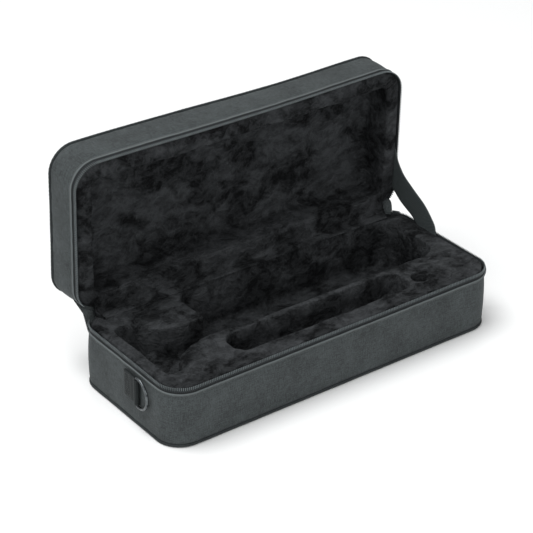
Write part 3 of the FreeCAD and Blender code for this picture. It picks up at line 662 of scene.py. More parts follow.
def shrunk(run, inset, share):
    # points drawn from the outline, in by an inset, towards the case's middle line
    edge = sweep(run, [inset], [0.0])
    middle = np.zeros_like(edge)
    reach = case["halfLength"] - case["halfDepth"]
    middle[..., 0] = np.clip(edge[..., 0], -reach, reach)
    share = np.asarray(share)[None, :, None]
    return edge + (middle - edge) * share


def panelCloth(name, isLid, seed, node):
    # one half's outer panel: rings drawn from the outline to the middle line, with a flat inside
    run = loopRuns(panel["step"])
    share = np.linspace(0, 1, panel["rings"])
    shape = shrunk(run, panel["inset"], share)
    rise = smoothStep(share, 0, 0.16)
    outside = shape.copy()
    outside[..., 2] = 0.9 + (panel["pillow"] * (-1 if isLid else 0.2)) * rise * 0.4
    dents = panel["dent"] * softNoise(shape, panel["dentSize"], seed) * rise
    outside[..., 2] += dents * (1 if isLid else 0.5)
    outside[..., 2] = outside[..., 2] if isLid else np.maximum(outside[..., 2], 0.15)
    inside = shape.copy()
    inside[..., 2] = 2.6
    grid = np.concatenate([outside[:, ::-1], inside], 1)
    across = np.abs(share) * 100
    made = addGrid(name, place(grid, isLid), nylonCloth, np.append(run, loopLength),
                   np.concatenate([-across[::-1], across + 2]), True, weld=True, flip=isLid)
    # the panel's cloth map is its plain length and depth
    layer = made.data.uv_layers["cloth"]
    corner = np.empty(len(made.data.loops), np.int32)
    made.data.loops.foreach_get("vertex_index", corner)
    flat = np.empty(len(made.data.vertices) * 3, np.float32)
    made.data.vertices.foreach_get("co", flat)
    flat = flat.reshape(-1, 3)[corner] / metre
    away = flat[:, 2] if isLid else flat[:, 1]
    layer.data.foreach_set("uv", np.stack([flat[:, 0], away], -1).astype(np.float32).ravel())
    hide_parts(node)
    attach(made, "lid" if isLid else "base")


panelCloth("basePanelCloth", False, 31, "base_bottom_panel")
panelCloth("lidPanelCloth", True, 37, "lid_top_panel")


piping = {"step": 1.6, "sides": 14, "radius": 2.15, "inset": 0.8, "level": 2.65, "wrinkle": 0.07,
          "wander": 0.25, "wrinklePitch": 6.2, "finePitch": 5.3}


def pipingCord(name, isLid, seed, node):
    # a round cord beside the panel: cosine and sine of a rippling radius as inset and level
    run = loopRuns(piping["step"])
    count = piping["sides"]
    turn = np.arange(count) / count * 2 * math.pi
    # the bias-cut cover winds round the cord in small slanting wrinkles
    slant = run[:, None] / piping["wrinklePitch"] * 2 * math.pi + turn[None]
    fine = run[:, None] / piping["finePitch"] * 2 * math.pi + turn[None] * 2 + seed
    wave = np.sin(slant) + 0.6 * np.sin(fine)
    radius = piping["radius"] + piping["wrinkle"] * wave
    insets = piping["inset"] - radius * np.cos(turn)
    levels = piping["level"] + radius * np.sin(turn)
    grid = sweep(run, insets, levels)
    wander = piping["wander"] * softNoise(grid.mean(1, keepdims=True), 30.0, seed)
    _, normal = outlineAt(run)
    grid[..., :2] += normal[:, None] * wander[..., None]
    if not isLid:
        grid[..., 2] = np.maximum(grid[..., 2], 0.05)
    made = addGrid(name, place(grid, isLid), pipingCloth, np.append(run, loopLength),
                   np.arange(count + 1) / count * 2 * math.pi * piping["radius"], True, True, flip=isLid)
    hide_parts(node)
    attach(made, "lid" if isLid else "base")


pipingCord("basePiping", False, 3, "base_piping")
pipingCord("lidPiping", True, 5, "lid_piping")
print("panels and piping ready")


zipper = {
    "step": 2.4, "tapeLow": 11.2, "tapeHigh": 1.0, "tapeOut": 0.42, "tapeIn": 1.25, "pitch": 2.7,
    "toothLevels": [-4.4, -4.2, -3.0, -1.5, -0.9, -0.25, 0.0],
    "toothWide": [0.3, 0.5, 0.52, 0.52, 0.66, 0.62, 0.3],
    "toothThick": [0.3, 0.66, 0.7, 0.7, 0.72, 0.6, 0.28],
    "toothInset": -0.25,
}


def zipperHalf(prefix, height, isLid, offset, nodes):
    # one half's zipper: a flat tape swept round, and one small bar set at even runs as teeth
    run = zipperRuns(zipper["step"])
    front, back, low, high = (zipper[key] for key in ("tapeOut", "tapeIn", "tapeLow", "tapeHigh"))
    # the tape's section as (inset, drop from the zipper edge)
    section = np.array([[front, low], [front, 8.0], [front, 5.2], [front, 3.0], [front, high + 0.2],
                        [(front + back) / 2, high], [back, high + 0.2], [back, 5.0], [back, low]])
    grid = closeEnds(place(sweep(run, section[:, 0], height - section[:, 1]), isLid))
    rows = endsTwice(run)
    tape = addGrid(prefix + "ZipperTape", grid, tapeCloth, rows, runsOf(section, True), closeColumns=True,
                   weld=True, flip=isLid)
    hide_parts(nodes[0])
    count = int((zipperEnd - zipperStart - zipper["pitch"]) / zipper["pitch"])
    spots = zipperStart + zipper["pitch"] * (np.arange(count) + 0.5 + offset)
    sides = 8
    turn = np.arange(sides) / sides * 2 * math.pi + math.pi / sides
    level = np.array(zipper["toothLevels"])
    template = np.zeros((len(level), sides, 3))
    template[..., 0] = np.cos(turn) * np.array(zipper["toothWide"])[:, None]
    template[..., 1] = np.sin(turn) * np.array(zipper["toothThick"])[:, None] + zipper["toothInset"]
    template[..., 2] = level[:, None] + height
    template = template.reshape(-1, 3)
    faces = barFaces(len(level), sides)
    point, normal = outlineAt(spots)
    shape = point[:, None, :] - template[None, :, 1:2] * normal[:, None, :]
    ahead = np.stack([-normal[:, 1], normal[:, 0]], -1)
    shape = shape + template[None, :, 0:1] * ahead[:, None, :]
    high = np.broadcast_to(template[None, :, 2:], shape.shape[:2] + (1,))
    points = np.concatenate([shape, high], -1).reshape(-1, 3)
    faces = (faces[None] + (np.arange(len(spots)) * len(template))[:, None, None]).reshape(-1, 4)
    teeth = addMesh(prefix + "ZipperTeeth", place(points, isLid), faces, toothNylonPaintedHighlight, flip=isLid)
    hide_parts(nodes[1])
    body = "lid" if isLid else "base"
    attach(tape, body)
    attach(teeth, body)


zipperHalf("base", case["baseHeight"], False, 0.0, ["base_zipper_tape", "base_zipper_coil"])
zipperHalf("lid", case["lidHeight"], True, 0.5, ["lid_zipper_tape", "lid_zipper_coil"])
print("zipper ready")


lidPlush = {
    "step": 3.0, "border": 25.0, "top": 0.3, "floor": 14.4, "nap": 0.8, "napSize": 8.0,
    "swell": 1.5, "swellSize": 30.0, "fine": 0.22, "fineSize": 3.4, "rings": 44,
    "borderNear": 6.5, "borderGap": 4.0, "borderDrop": 2.2, "borderRise": 2.6, "bend": 3.2, "bendDrop": 2.8,
    "cove": 5.0, "underInset": 2.4, "underLevel": 10.5,
}


def lidLining():
    # the lid's lining as one profile swept round: rim, border, wall, cove and floor, then noise
    # along its normals
    run = loopRuns(lidPlush["step"])
    high = case["lidHeight"] - lidPlush["top"]
    edge = lidPlush["border"]
    floor = lidPlush["floor"]
    rim = np.array([[2.4, 11.0], [2.2, 30.0], [2.2, high - 6.0], [2.5, high - 4.2], [3.4, high - 3.2],
                    [5, high - 2.6]])
    across = np.linspace(0, 1, 9)
    # the border is a soft roll: low beside the zipper and proud along the recess
    near, radius, bend = lidPlush["borderNear"], lidPlush["cove"], lidPlush["bend"]
    swollen = lidPlush["borderRise"] * np.sin(across * math.pi / 2)
    border = np.stack([near + (edge - near - lidPlush["borderGap"]) * across,
                       high - lidPlush["borderDrop"] + swollen], -1)
    turn = np.linspace(0, math.pi / 2, 6)
    rounding = np.stack([edge - bend + bend * np.sin(turn),
                         high - lidPlush["bendDrop"] + bend * np.cos(turn)], -1)
    wallPart = np.stack([np.full(12, edge), np.linspace(high - 6.5, floor + 6.5, 12)], -1)
    cove = np.stack([edge + radius - radius * np.cos(turn), floor + radius - radius * np.sin(turn)], -1)
    profile = np.concatenate([rim, border, rounding, wallPart, cove])
    outer = sweep(run, profile[:, 0], profile[:, 1])
    share = np.linspace(0, 1, lidPlush["rings"])
    inner = shrunk(run, edge + radius, share)[:, 1:]
    inner[..., 2] = floor
    under = shrunk(run, lidPlush["underInset"], share)[:, :0:-1]
    under[..., 2] = lidPlush["underLevel"]
    grid = np.concatenate([under, outer, inner], 1)
    # the pile lies in soft swells with a fine uneven nap
    swell = softNoise(grid, lidPlush["swellSize"], 5) * lidPlush["swell"]
    nap = softNoise(grid, lidPlush["napSize"], 9) * lidPlush["nap"]
    fine = softNoise(grid, lidPlush["fineSize"], 13) * lidPlush["fine"]
    start = under.shape[1] + 4
    amount = np.zeros(grid.shape[1])
    amount[start:] = 1
    amount[start:start + 4] = [0.2, 0.4, 0.7, 0.9]
    grid = grid + facingOf(grid) * ((swell + nap + fine) * amount)[..., None]
    made = addGrid("lidPlush", place(grid, True), blackPlush, closeRows=True, weld=True, flip=True)
    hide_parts("lid_plush_lining")
    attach(made, "lid")


lidLining()
print("lid plush ready")


basePlush = {"voxel": 4.5, "rimOuter": 2.0, "rimInner": 16.0, "rimLow": 70.0, "rimTop": 0.5, "smoothing": 3,
             "swell": 0.7, "swellSize": 30.0, "nap": 0.4, "napSize": 7.0, "fine": 0.2, "fineSize": 3.2,
             "shrink": 1.3, "pressure": 0.28, "frames": 20, "mostMove": 3.0, "sliderX": 262.0,
             "sliderTop": 88.6, "freeX": 262.0, "freeY": 103.0, "freeZ": 6.0,
             "wallX": 256.0, "wallY": 97.0, "wallTop": 86.0, "wallIn": 0.4}


def meshPoints(mesh):
    # all of a mesh's points, in millimetres
    flat = np.empty(len(mesh.vertices) * 3)
    mesh.vertices.foreach_get("co", flat)
    return flat.reshape(-1, 3) / metre


def meshNormals(mesh):
    # the normal at each of a mesh's points
    flat = np.empty(len(mesh.vertices) * 3)
    mesh.vertex_normals.foreach_get("vector", flat)
    return flat.reshape(-1, 3)


def applied(piece):
    # works a piece's modifiers into its mesh and gives the mesh back
    ready = piece.evaluated_get(bpy.context.evaluated_depsgraph_get())
    made = bpy.data.meshes.new_from_object(ready)
    piece.modifiers.clear()
    piece.data = made
    return made


def inflated(piece, free):
    # air pressure swells the padding in a cloth simulation: points that aren't free are pinned,
    # and a free point starts a little inside and moves from there by no more than the most that is allowed
    small = meshPoints(piece.data) - meshNormals(piece.data) * (basePlush["shrink"] * free)[:, None]
    piece.data.vertices.foreach_set("co", (small * metre).ravel())
    piece.data.update()
    pins = piece.vertex_groups.new(name="pins")
    pins.add(np.nonzero(free < 0.5)[0].tolist(), 1.0, "REPLACE")
    cloth = piece.modifiers.new("cloth", "CLOTH")
    cloth.settings.use_pressure = True
    cloth.settings.uniform_pressure_force = basePlush["pressure"]
    cloth.settings.effector_weights.gravity = 0
    cloth.settings.vertex_group_mass = "pins"
    cloth.point_cache.frame_start, cloth.point_cache.frame_end = 1, basePlush["frames"]
    for step in range(1, basePlush["frames"] + 1):
        bpy.context.scene.frame_set(step)
    settled = piece.evaluated_get(bpy.context.evaluated_depsgraph_get())
    move = np.nan_to_num(meshPoints(settled.data) - small)
    far = np.maximum(np.linalg.norm(move, axis=1), 1e-6)
    print("cloth simulation moved points by up to", round(float(far.max()), 2), "mm, middle value",
          round(float(np.median(far[free > 0.5])), 2), "mm, share at the limit",
          round(float(np.mean(far[free > 0.5] > basePlush["mostMove"])), 2))
    move *= (np.minimum(far, basePlush["mostMove"]) / far)[:, None]
    piece.modifiers.clear()
    piece.vertex_groups.clear()
    bpy.context.scene.frame_set(1)
    piece.data.vertices.foreach_set("co", ((small + move) * metre).ravel())
    piece.data.update()


def baseLining():
    # one plush-covered block with its wells: the parts are merged, evened and softened at the rims
    work = bmesh.new()
    for node in ("base_foam_insert", "base_plush_lining"):
        work.from_mesh(frame["nodes"][node].data)
    run = loopRuns(3.0)
    inner, outer, low = basePlush["rimInner"], basePlush["rimOuter"], basePlush["rimLow"]
    high = case["baseHeight"] - basePlush["rimTop"]
    corners = np.array([[inner, low], [outer, low], [outer, high], [inner, high]])
    ring = sweep(run, corners[:, 0], corners[:, 1])
    rim = addGrid("rimForm", ring, blackPlush, closeRows=True, closeColumns=True)
    work.from_mesh(rim.data)
    bpy.data.objects.remove(rim)
    mesh = bpy.data.meshes.new("basePlush")
    work.to_mesh(mesh)
    work.free()
    source = bpy.data.objects.new("basePlush", mesh)
    bpy.context.scene.collection.objects.link(source)
    remesh = source.modifiers.new("remesh", "REMESH")
    remesh.mode = "VOXEL"
    remesh.voxel_size = basePlush["voxel"] * metre
    even = source.modifiers.new("even", "SMOOTH")
    even.factor = 0.5
    even.iterations = basePlush["smoothing"]
    points = meshPoints(applied(source))
    inside = (np.abs(points[:, 0]) < basePlush["freeX"]) & (np.abs(points[:, 1]) < basePlush["freeY"])
    inside = inside & (points[:, 2] > basePlush["freeZ"])
    inflated(source, inside.astype(float))
    fuller = source.modifiers.new("fuller", "SUBSURF")
    fuller.levels = fuller.render_levels = 1
    made = applied(source)
    made.name = "basePlush"
    points, facing = meshPoints(made), meshNormals(made)
    lift = basePlush["swell"] * softNoise(points, basePlush["swellSize"], 41)
    lift += basePlush["nap"] * softNoise(points, basePlush["napSize"], 43)
    lift += basePlush["fine"] * softNoise(points, basePlush["fineSize"], 47)
    # what lies against the walls is drawn in a little and keeps out of them
    wallPart = (np.abs(points[:, 0]) > basePlush["wallX"]) | (np.abs(points[:, 1]) > basePlush["wallY"])
    wallPart = wallPart & (points[:, 2] < basePlush["wallTop"])
    lift = np.where(wallPart, -basePlush["wallIn"], lift)
    points = points + facing * lift[:, None]
    # the rim lies lower at the right end, where the slider's inner plate runs over it
    top = np.where(points[:, 0] > basePlush["sliderX"], basePlush["sliderTop"], case["baseHeight"] + 0.2)
    points[:, 2] = np.minimum(points[:, 2], top)
    made.vertices.foreach_set("co", (softShift(points, False) * metre).ravel())
    made.polygons.foreach_set("use_smooth", np.ones(len(made.polygons), bool))
    made.materials.clear()
    made.materials.append(blackPlush)
    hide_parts("base_plush_lining", "base_foam_insert")
    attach(source, "base")
    print("base plush", len(made.polygons), "faces")


baseLining()
print("base plush ready")


# cloth between the base and the open lid


def thickened(grid, thickness):
    # a sheet with a little thickness: front face, then back face, as one closed band per row
    facing = facingOf(grid)
    half = facing * thickness / 2
    sideways = unit(np.gradient(grid, axis=1)) * thickness / 2
    front, back = grid + half, grid - half
    start = grid[:, :1] - sideways[:, :1]
    end = grid[:, -1:] + sideways[:, -1:]
    front[:, :1] = grid[:, :1] + half[:, :1] * 0.7
    return np.concatenate([front, end, back[:, ::-1], start], 1)


def bezier(first, control, last, steps):
    # a curve from first to last that bends towards a control point: two even mixes, mixed again
    share = np.linspace(0, 1, steps)[None, :, None]
    return (first[:, None] * (1 - share) + control[:, None] * share) * (1 - share) + (
        control[:, None] * (1 - share) + last[:, None] * share) * share


def addSheet(name, grid, thickness, material, nodes):
    # a thin sheet with a little thickness and closed ends, with its place on the cloth, fixed where it is
    # built
    band = thickened(grid, thickness)
    rows = runsOf(grid[:, grid.shape[1] // 2])
    columns = runsOf(band[grid.shape[0] // 2], True)
    band = closeEnds(band)
    rows = endsTwice(rows)
    made = addGrid(name, band, material, rows, columns, closeColumns=True, weld=True)
    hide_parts(*nodes)
    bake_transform(made)


hingeCloth = {"step": 2.5, "inset": -0.75, "baseDrop": 16.0, "lidNear": 4.7, "lidFar": 20.4, "rim": 1.9,
              "thick": 1.0, "steps": 12, "wrinkle": 0.5, "wrinkleSize": 7.0, "ear": 5.0, "earAngle": 24.0,
              "bendFrom": [0, 111.9, 90], "bendTo": [0, 115.4, 90]}


def hingeRuns(step, angle):
    # even runs across the back and round both corners as far as the angle
    end = straightX + case["corner"] * math.radians(angle)
    return np.linspace(-end, end, int(round(2 * end / step)))


def outerHinge():
    # the outer hinge cloth: up the base wall, across the gap in a curve, then along the lid's wall
    run = hingeRuns(hingeCloth["step"], case["zipperEndAngle"])
    edge = sweep(run, [hingeCloth["inset"]], [0.0])[:, 0]
    rim = case["baseHeight"] - hingeCloth["rim"]
    upright = np.array([0.0, 0.0, 1.0])
    leg = edge[:, None] + np.outer(np.linspace(rim - hingeCloth["baseDrop"], rim - 1, 6), upright)
    baseCorner = edge + [0, 0, rim]
    level = case["closedTop"] - case["hingeZ"] - np.linspace(hingeCloth["lidNear"], hingeCloth["lidFar"], 6)
    far = toLid(softShift(edge[:, None] + np.outer(level, upright), True))
    control = np.stack([edge[:, 0], baseCorner[:, 1], far[:, 0, 2]], -1)
    cove = bezier(baseCorner, control, far[:, 0], hingeCloth["steps"])
    grid = np.concatenate([leg, cove, far[:, 1:]], 1)
    middle = np.zeros(grid.shape[1])
    middle[4:-4] = 1
    lift = hingeCloth["wrinkle"] * softNoise(grid, hingeCloth["wrinkleSize"], 61) * middle
    grid = grid + facingOf(grid) * lift[..., None]
    # the slack at each end of the strip pokes out as a small ear
    start = straightX + case["corner"] * math.radians(hingeCloth["earAngle"])
    poke = hingeCloth["ear"] * smoothStep(np.abs(run), start, run[-1])
    bend = np.zeros(grid.shape[1])
    bend[6:6 + hingeCloth["steps"]] = np.sin(math.pi * np.linspace(0, 1, hingeCloth["steps"]))
    _, outward = outlineAt(run)
    grid[..., :2] += outward[:, None] * (poke[:, None] * bend)[..., None]
    addSheet("hingeOuterCloth", grid, hingeCloth["thick"], nylonCloth, ["hinge_cloth"])


outerHinge()


hingePlush = {"step": 2.5, "angle": 25.0, "near": 7.5, "far": 22.0, "lift": 0.4, "thick": 1.8, "steps": 12,
              "wrinkle": 0.9, "wrinkleSize": 10.0, "bendFrom": [0, 98, 93.5], "bendTo": [0, 104, 107]}


def innerHinge():
    # the plush over the hinge: from the base border in a curve to the lid's border
    run = hingeRuns(hingePlush["step"], hingePlush["angle"])
    near, far = (sweep(run, [hingePlush[end]], [0.0])[:, 0] for end in ("near", "far"))
    share = np.linspace(0, 1, 6)[None, :, None]
    flat = far[:, None] + (near - far)[:, None] * share
    base = flat + [0, 0, case["baseHeight"] + hingePlush["lift"]]
    lid = toLid(softShift(flat[:, ::-1] + [0, 0, case["lidHeight"] + hingePlush["lift"]], True))
    control = np.stack([near[:, 0], lid[:, 0, 1], base[:, -1, 2]], -1)
    cove = bezier(base[:, -1], control, lid[:, 0], hingePlush["steps"])
    grid = np.concatenate([base[:, :-1], cove, lid[:, 1:]], 1)
    middle = np.zeros(grid.shape[1])
    middle[3:-3] = 1
    lift = hingePlush["wrinkle"] * softNoise(grid * [0.5, 1, 1], hingePlush["wrinkleSize"], 67) * middle
    grid = grid + facingOf(grid) * lift[..., None]
    addSheet("hingeInnerPlush", grid, hingePlush["thick"], blackPlush, ["hinge_plush"])


innerHinge()


# both edges go from the base to the lid as (y, z)
strap = {
    "x": 265.8, "thick": 1.6, "sway": 1.6, "swayRate": 7.0, "twist": 0.5, "twistRate": 11.0, "steps": 60,
    "across": 14, "bendFrom": [33.0, 94.0], "bendTo": [104.0, 144.0],
    "front": [[10.0, 66.0], [10.0, 80.0], [10.6, 90.0], [13.2, 100.5], [23.0, 112.5], [36.3, 123.6],
              [52.3, 134.0], [68.5, 145.0], [87.1, 158.2], [99.0, 171.5], [105.2, 186.0], [112.0, 193.0],
              [126.0, 194.0]],
    "rear": [[48.0, 66.0], [49.0, 80.0], [50.5, 88.8], [57.0, 93.2], [72.5, 102.6], [88.8, 112.0],
             [100.0, 119.0], [106.6, 123.0], [109.5, 124.5], [113.0, 125.5], [118.0, 126.0],
             [126.0, 126.0]],
}


def smoothLine(points, steps):
    # evenly spaced points on a smooth curve through a few given ones
    points = np.asarray(points, float)
    run = runsOf(points)
    knots = np.linspace(0, run[-1], steps * 4)
    slopes = np.gradient(points, run, axis=0)
    index = np.clip(np.searchsorted(run, knots, side="right") - 1, 0, len(run) - 2)
    span = (run[index + 1] - run[index])[:, None]
    share = ((knots - run[index]) / span[:, 0])[:, None]
    rest = 1 - share
    line = ((1 + 2 * share) * rest ** 2 * points[index] + share * rest ** 2 * span * slopes[index]
            + share ** 2 * (3 - 2 * share) * points[index + 1]
            - share ** 2 * rest * span * slopes[index + 1])
    run = runsOf(line)
    even = np.linspace(0, run[-1], steps)
    return np.stack([np.interp(even, run, line[:, axis]) for axis in range(line.shape[1])], -1)


def stayStrap():
    # the strap as an even mix of its two edges, with a sine sway where it hangs free
    front = smoothLine(strap["front"], strap["steps"])
    rear = smoothLine(strap["rear"], strap["steps"])
    share = np.linspace(0, 1, strap["across"])[None, :, None]
    flat = front[:, None] * (1 - share) + rear[:, None] * share
    along = np.linspace(0, 1, strap["steps"])[:, None]
    free = smoothStep(along, 0.25, 0.45) * (1 - smoothStep(along, 0.6, 0.85))
    sway = strap["sway"] * np.sin(along * strap["swayRate"]) * free
    sway = sway + strap["twist"] * (share[..., 0] - 0.5) * np.sin(along * strap["twistRate"]) * free
    grid = np.concatenate([(strap["x"] + sway)[..., None], flat], -1)
    addSheet("stayStrap", grid, strap["thick"], webbingCloth,
             ["stay_strap", "strap_anchor_base", "strap_anchor_lid"])


stayStrap()
print("hinge cloth and strap ready")


# rings and their tabs

ring = {
    "wire": 2.0, "half": 21.5, "bend": 2.3, "leg": 1.7, "centreZ": 56.0, "barX": 273.85, "sides": 20,
    "leftBarY": -37.0, "leftAngle": 2.0, "rightBarY": -50.0, "rightAngle": 53.0,
}
tab = {
    "width": 38.0, "thick": 1.45, "length": 31.0, "gap": 0.12, "eyeGap": 0.28, "flat": 17.0,
    "boxIn": 3.2, "boxNear": 4.2, "boxFar": 2.6, "stitchLength": 2.4, "stitchGap": 0.8, "stitchThick": 0.3,
}


def arc(centre, radius, start, end, steps):
    # points on part of a circle, from one angle in degrees to another
    turn = np.linspace(math.radians(start), math.radians(end), steps)
    return np.stack([centre[0] + radius * np.cos(turn), centre[1] + radius * np.sin(turn)], -1)


def ringLine():
    # the D's middle line as (away from the bar, height) from its centre
    half, bend, leg = ring["half"], ring["bend"], ring["leg"]
    bar = np.stack([np.zeros(24), np.linspace(-half + bend, half - bend, 24)], -1)
    upper = arc((bend, half - bend), bend, 180, 90, 8)[1:]
    bow = arc((bend + leg, 0), half, 90, -90, 60)
    lower = arc((bend, -half + bend), bend, 270, 180, 8)[:-1]
    return np.concatenate([bar, upper, bow, lower])


def dRing(name, side, barY, angle, body, node):
    # a D-ring: its flat line turned about the bar to its rest angle and carried as a round wire
    flat = ringLine()
    turn = math.radians(angle)
    line = np.stack([ring["barX"] + flat[:, 0] * math.sin(turn), barY - flat[:, 0] * math.cos(turn),
                     ring["centreZ"] + flat[:, 1]], -1)
    line[:, 0] *= side
    up = np.array([math.cos(turn) * side, math.sin(turn), 0.0])
    made = addTube(name, line, circleSection(ring["wire"], ring["sides"]), up, ringMetal, closed=True)
    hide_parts(node)
    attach(made, body)


def boxedCross(name, near, far, low, high, sizes, setDown, up, thread):
    # stitches along a box's four sides and two diagonals; setDown puts the flat points on the cloth
    corners = np.array([(near, low), (far, low), (far, high), (near, high)])
    share = np.linspace(0, 1, 20)[:, None]
    parts = []
    for start, end in ((0, 1), (1, 2), (2, 3), (3, 0), (0, 2), (3, 1)):
        seam = setDown(corners[start] + (corners[end] - corners[start]) * share)
        parts.append(stitchRow(seam, up, sizes["stitchLength"], sizes["stitchGap"], sizes["stitchThick"]))
    points, faces = joined(parts)
    return addMesh(name, points, faces, thread)


def ringTab(name, side, barY, node):
    # a folded webbing tab: along the wall, round the bar, back over itself
    thick, eye = tab["thick"], ring["wire"] + tab["eyeGap"] + tab["thick"] / 2
    inner = 270 + tab["gap"] + thick / 2
    outer = inner + thick + 0.1
    rear = barY + tab["length"]
    knee = rear - tab["flat"]
    loop = arc((ring["barX"], barY), eye, 180, 360 + 78, 26)
    path = np.concatenate([
        np.stack([np.full(12, inner), np.linspace(rear, barY + 4, 12)], -1),
        np.stack([np.linspace(inner, loop[0, 0], 5)[1:-1], np.linspace(barY + 4, barY, 5)[1:-1]], -1),
        loop,
        smoothLine([loop[-1], loop[-1] + [-1.3, 4.4], [outer + 0.5, knee + 1.0], [outer, knee + 3.5]],
                   12)[1:],
        np.stack([np.full(10, outer), np.linspace(knee + 4.5, rear, 10)], -1),
    ])
    line = np.stack([path[:, 0] * side, path[:, 1], np.full(len(path), ring["centreZ"])], -1)
    section = bandSection(tab["width"], thick, flatSteps=16)[:, ::-1] * [1, -1]
    made = addTube(name, line, section, np.array([0, 0, 1.0]), shadedTabWebbing, flip=side > 0)
    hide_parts(node)
    body = "base"
    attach(made, body)
    # a boxed cross of stitches over the flat part
    low = ring["centreZ"] - tab["width"] / 2 + tab["boxIn"]
    high = ring["centreZ"] + tab["width"] / 2 - tab["boxIn"]
    face = (outer + thick / 2) * side
    stitches = boxedCross(name + "Stitches", knee + tab["boxNear"], rear - tab["boxFar"], low, high, tab,
                          lambda flat: np.insert(flat, 0, face, 1), [side, 0, 0], shadedTabThread)
    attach(stitches, body)


dRing("leftDRing", -1, ring["leftBarY"], ring["leftAngle"], "ring_left", "d_ring_left")
dRing("rightDRing", 1, ring["rightBarY"], ring["rightAngle"], "ring_right", "d_ring_right")
ringTab("leftRingTab", -1, ring["leftBarY"], "ring_tab_left")
ringTab("rightRingTab", 1, ring["rightBarY"], "ring_tab_right")
print("rings and tabs ready")


# zipper ends, slider and pull

tabEnd = {"width": 11.0, "height": 8.8, "inset": -1.35, "thick": 1.1, "bulge": 0.5, "start": 0.3,
          "overTop": 0.45, "underLow": 0.4, "steps": 14, "rises": 10}


def zipperEndTab(name, side, node):
    # a cloth tab folded over the last teeth at a back corner
    start, steps, rises = zipperStart + tabEnd["start"], tabEnd["steps"], tabEnd["rises"]
    run = np.linspace(start, start + tabEnd["width"], steps)
    run = run if side < 0 else loopLength - run[::-1]
    share = np.linspace(0, 1, steps)
    level = case["baseHeight"] - tabEnd["height"] * np.linspace(1, 0, rises)
    puff = tabEnd["bulge"] * np.sin(math.pi * share)[:, None] * np.sin(math.pi * np.linspace(0.1, 0.9, rises))
    front = sweep(run, tabEnd["inset"] - tabEnd["thick"] / 2 - puff, level)
    back = sweep(run, np.full(rises, tabEnd["inset"] + tabEnd["thick"] / 2), level)
    top = sweep(run, [tabEnd["inset"] - 0.1], [case["baseHeight"] + tabEnd["overTop"]])
    low = sweep(run, [tabEnd["inset"]], [level[0] - tabEnd["underLow"]])
    grid = closeEnds(np.concatenate([front, top, back[:, ::-1], low], 1))
    rows = endsTwice(share) * tabEnd["width"]
    made = addGrid(name, softShift(grid, False), nylonCloth, rows, np.arange(grid.shape[1] + 1) * 1.0,
                   closeColumns=True, weld=True)
    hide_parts(node)
    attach(made, "base")


zipperEndTab("leftZipperEnd", -1, "zipper_end_left")
zipperEndTab("rightZipperEnd", 1, "zipper_end_right")
slider = {
    "x": 271.4, "plate": 1.6, "y": 44.0, "z": 91.5, "length": 15.0, "height": 13.4, "edge": 0.45,
    "dome": 0.45, "innerX": 267.1, "innerPlate": 1.4, "innerHeight": 4.4, "bridge": 4.0,
    "bridgeThick": 0.8, "lip": 1.4, "lipX": 269.9, "earThick": 1.2, "earGap": 5.4, "earLength": 5.0,
    "earTall": 1.9, "earRoot": 2.3, "earReach": 4.0, "earEdge": 0.3, "pinRadius": 0.9, "pinSink": 0.2,
    "taper": 0.72, "domeRoom": 0.35, "bridgeSink": 0.4, "bridgeReach": 0.6, "bridgeEdge": 0.1,
    "lipShare": 0.72, "lipAlong": -0.4, "lipUp": 0.75, "lipReach": 0.6, "lipEdge": 0.3, "steps": 72,
}
pull = {"length": 27.0, "eye": 1.9, "thick": 1.4, "neckHalf": 2.5, "tipHalf": 4.0, "tipLength": 15.0,
        "hole": 1.6, "edge": 0.35, "eyeHole": 1.0, "eyeRoom": 0.1, "eyeBevel": 0.2, "eyeEdge": 0.25,
        "neckIn": 0.5, "overlap": 0.4, "widenBefore": 4.0, "widenAfter": 5.0, "holeBevel": 0.3,
        "holeEdge": 0.2, "endPower": 0.55, "sidePower": 0.7, "steps": 96}


def plate(outline, low, high, edge, dome=0.0):
    # a closed plate with rounded edges from an outline of (first, second) points; it lies between two levels
    middle = outline.mean(0)
    rings = [(0.0, low), (0.5, low), (0.97, low), (1.0, low + edge), (1.0, high - edge), (0.97, high),
             (0.5, high + dome * 0.75), (0.0, high + dome)]
    away = outline - middle
    return np.stack([np.insert(middle + away * share, 2, level, 1) for share, level in rings], 1)


def shield(halfLong, frontHalf, backHalf, steps, power=2.6):
    # an egg-like outline, blunt at both ends, that narrows from one end to the other
    turn = np.arange(steps) / steps * 2 * math.pi
    along = squared(np.cos(turn), 2 / power) * halfLong
    half = frontHalf + (backHalf - frontHalf) * smoothStep(along, -halfLong, halfLong)
    across = squared(np.sin(turn), 2 / power) * half
    return np.stack([along, across], -1)


def asPart(grid, toWorld, closeRows=True, closeColumns=False, flip=False):
    # a grid of (along, across, out) points set in place, with its faces
    faces = gridFaces(grid.shape[0], grid.shape[1], closeRows, closeColumns)[0]
    return toWorld(grid).reshape(-1, 3), faces[:, ::-1] if flip else faces


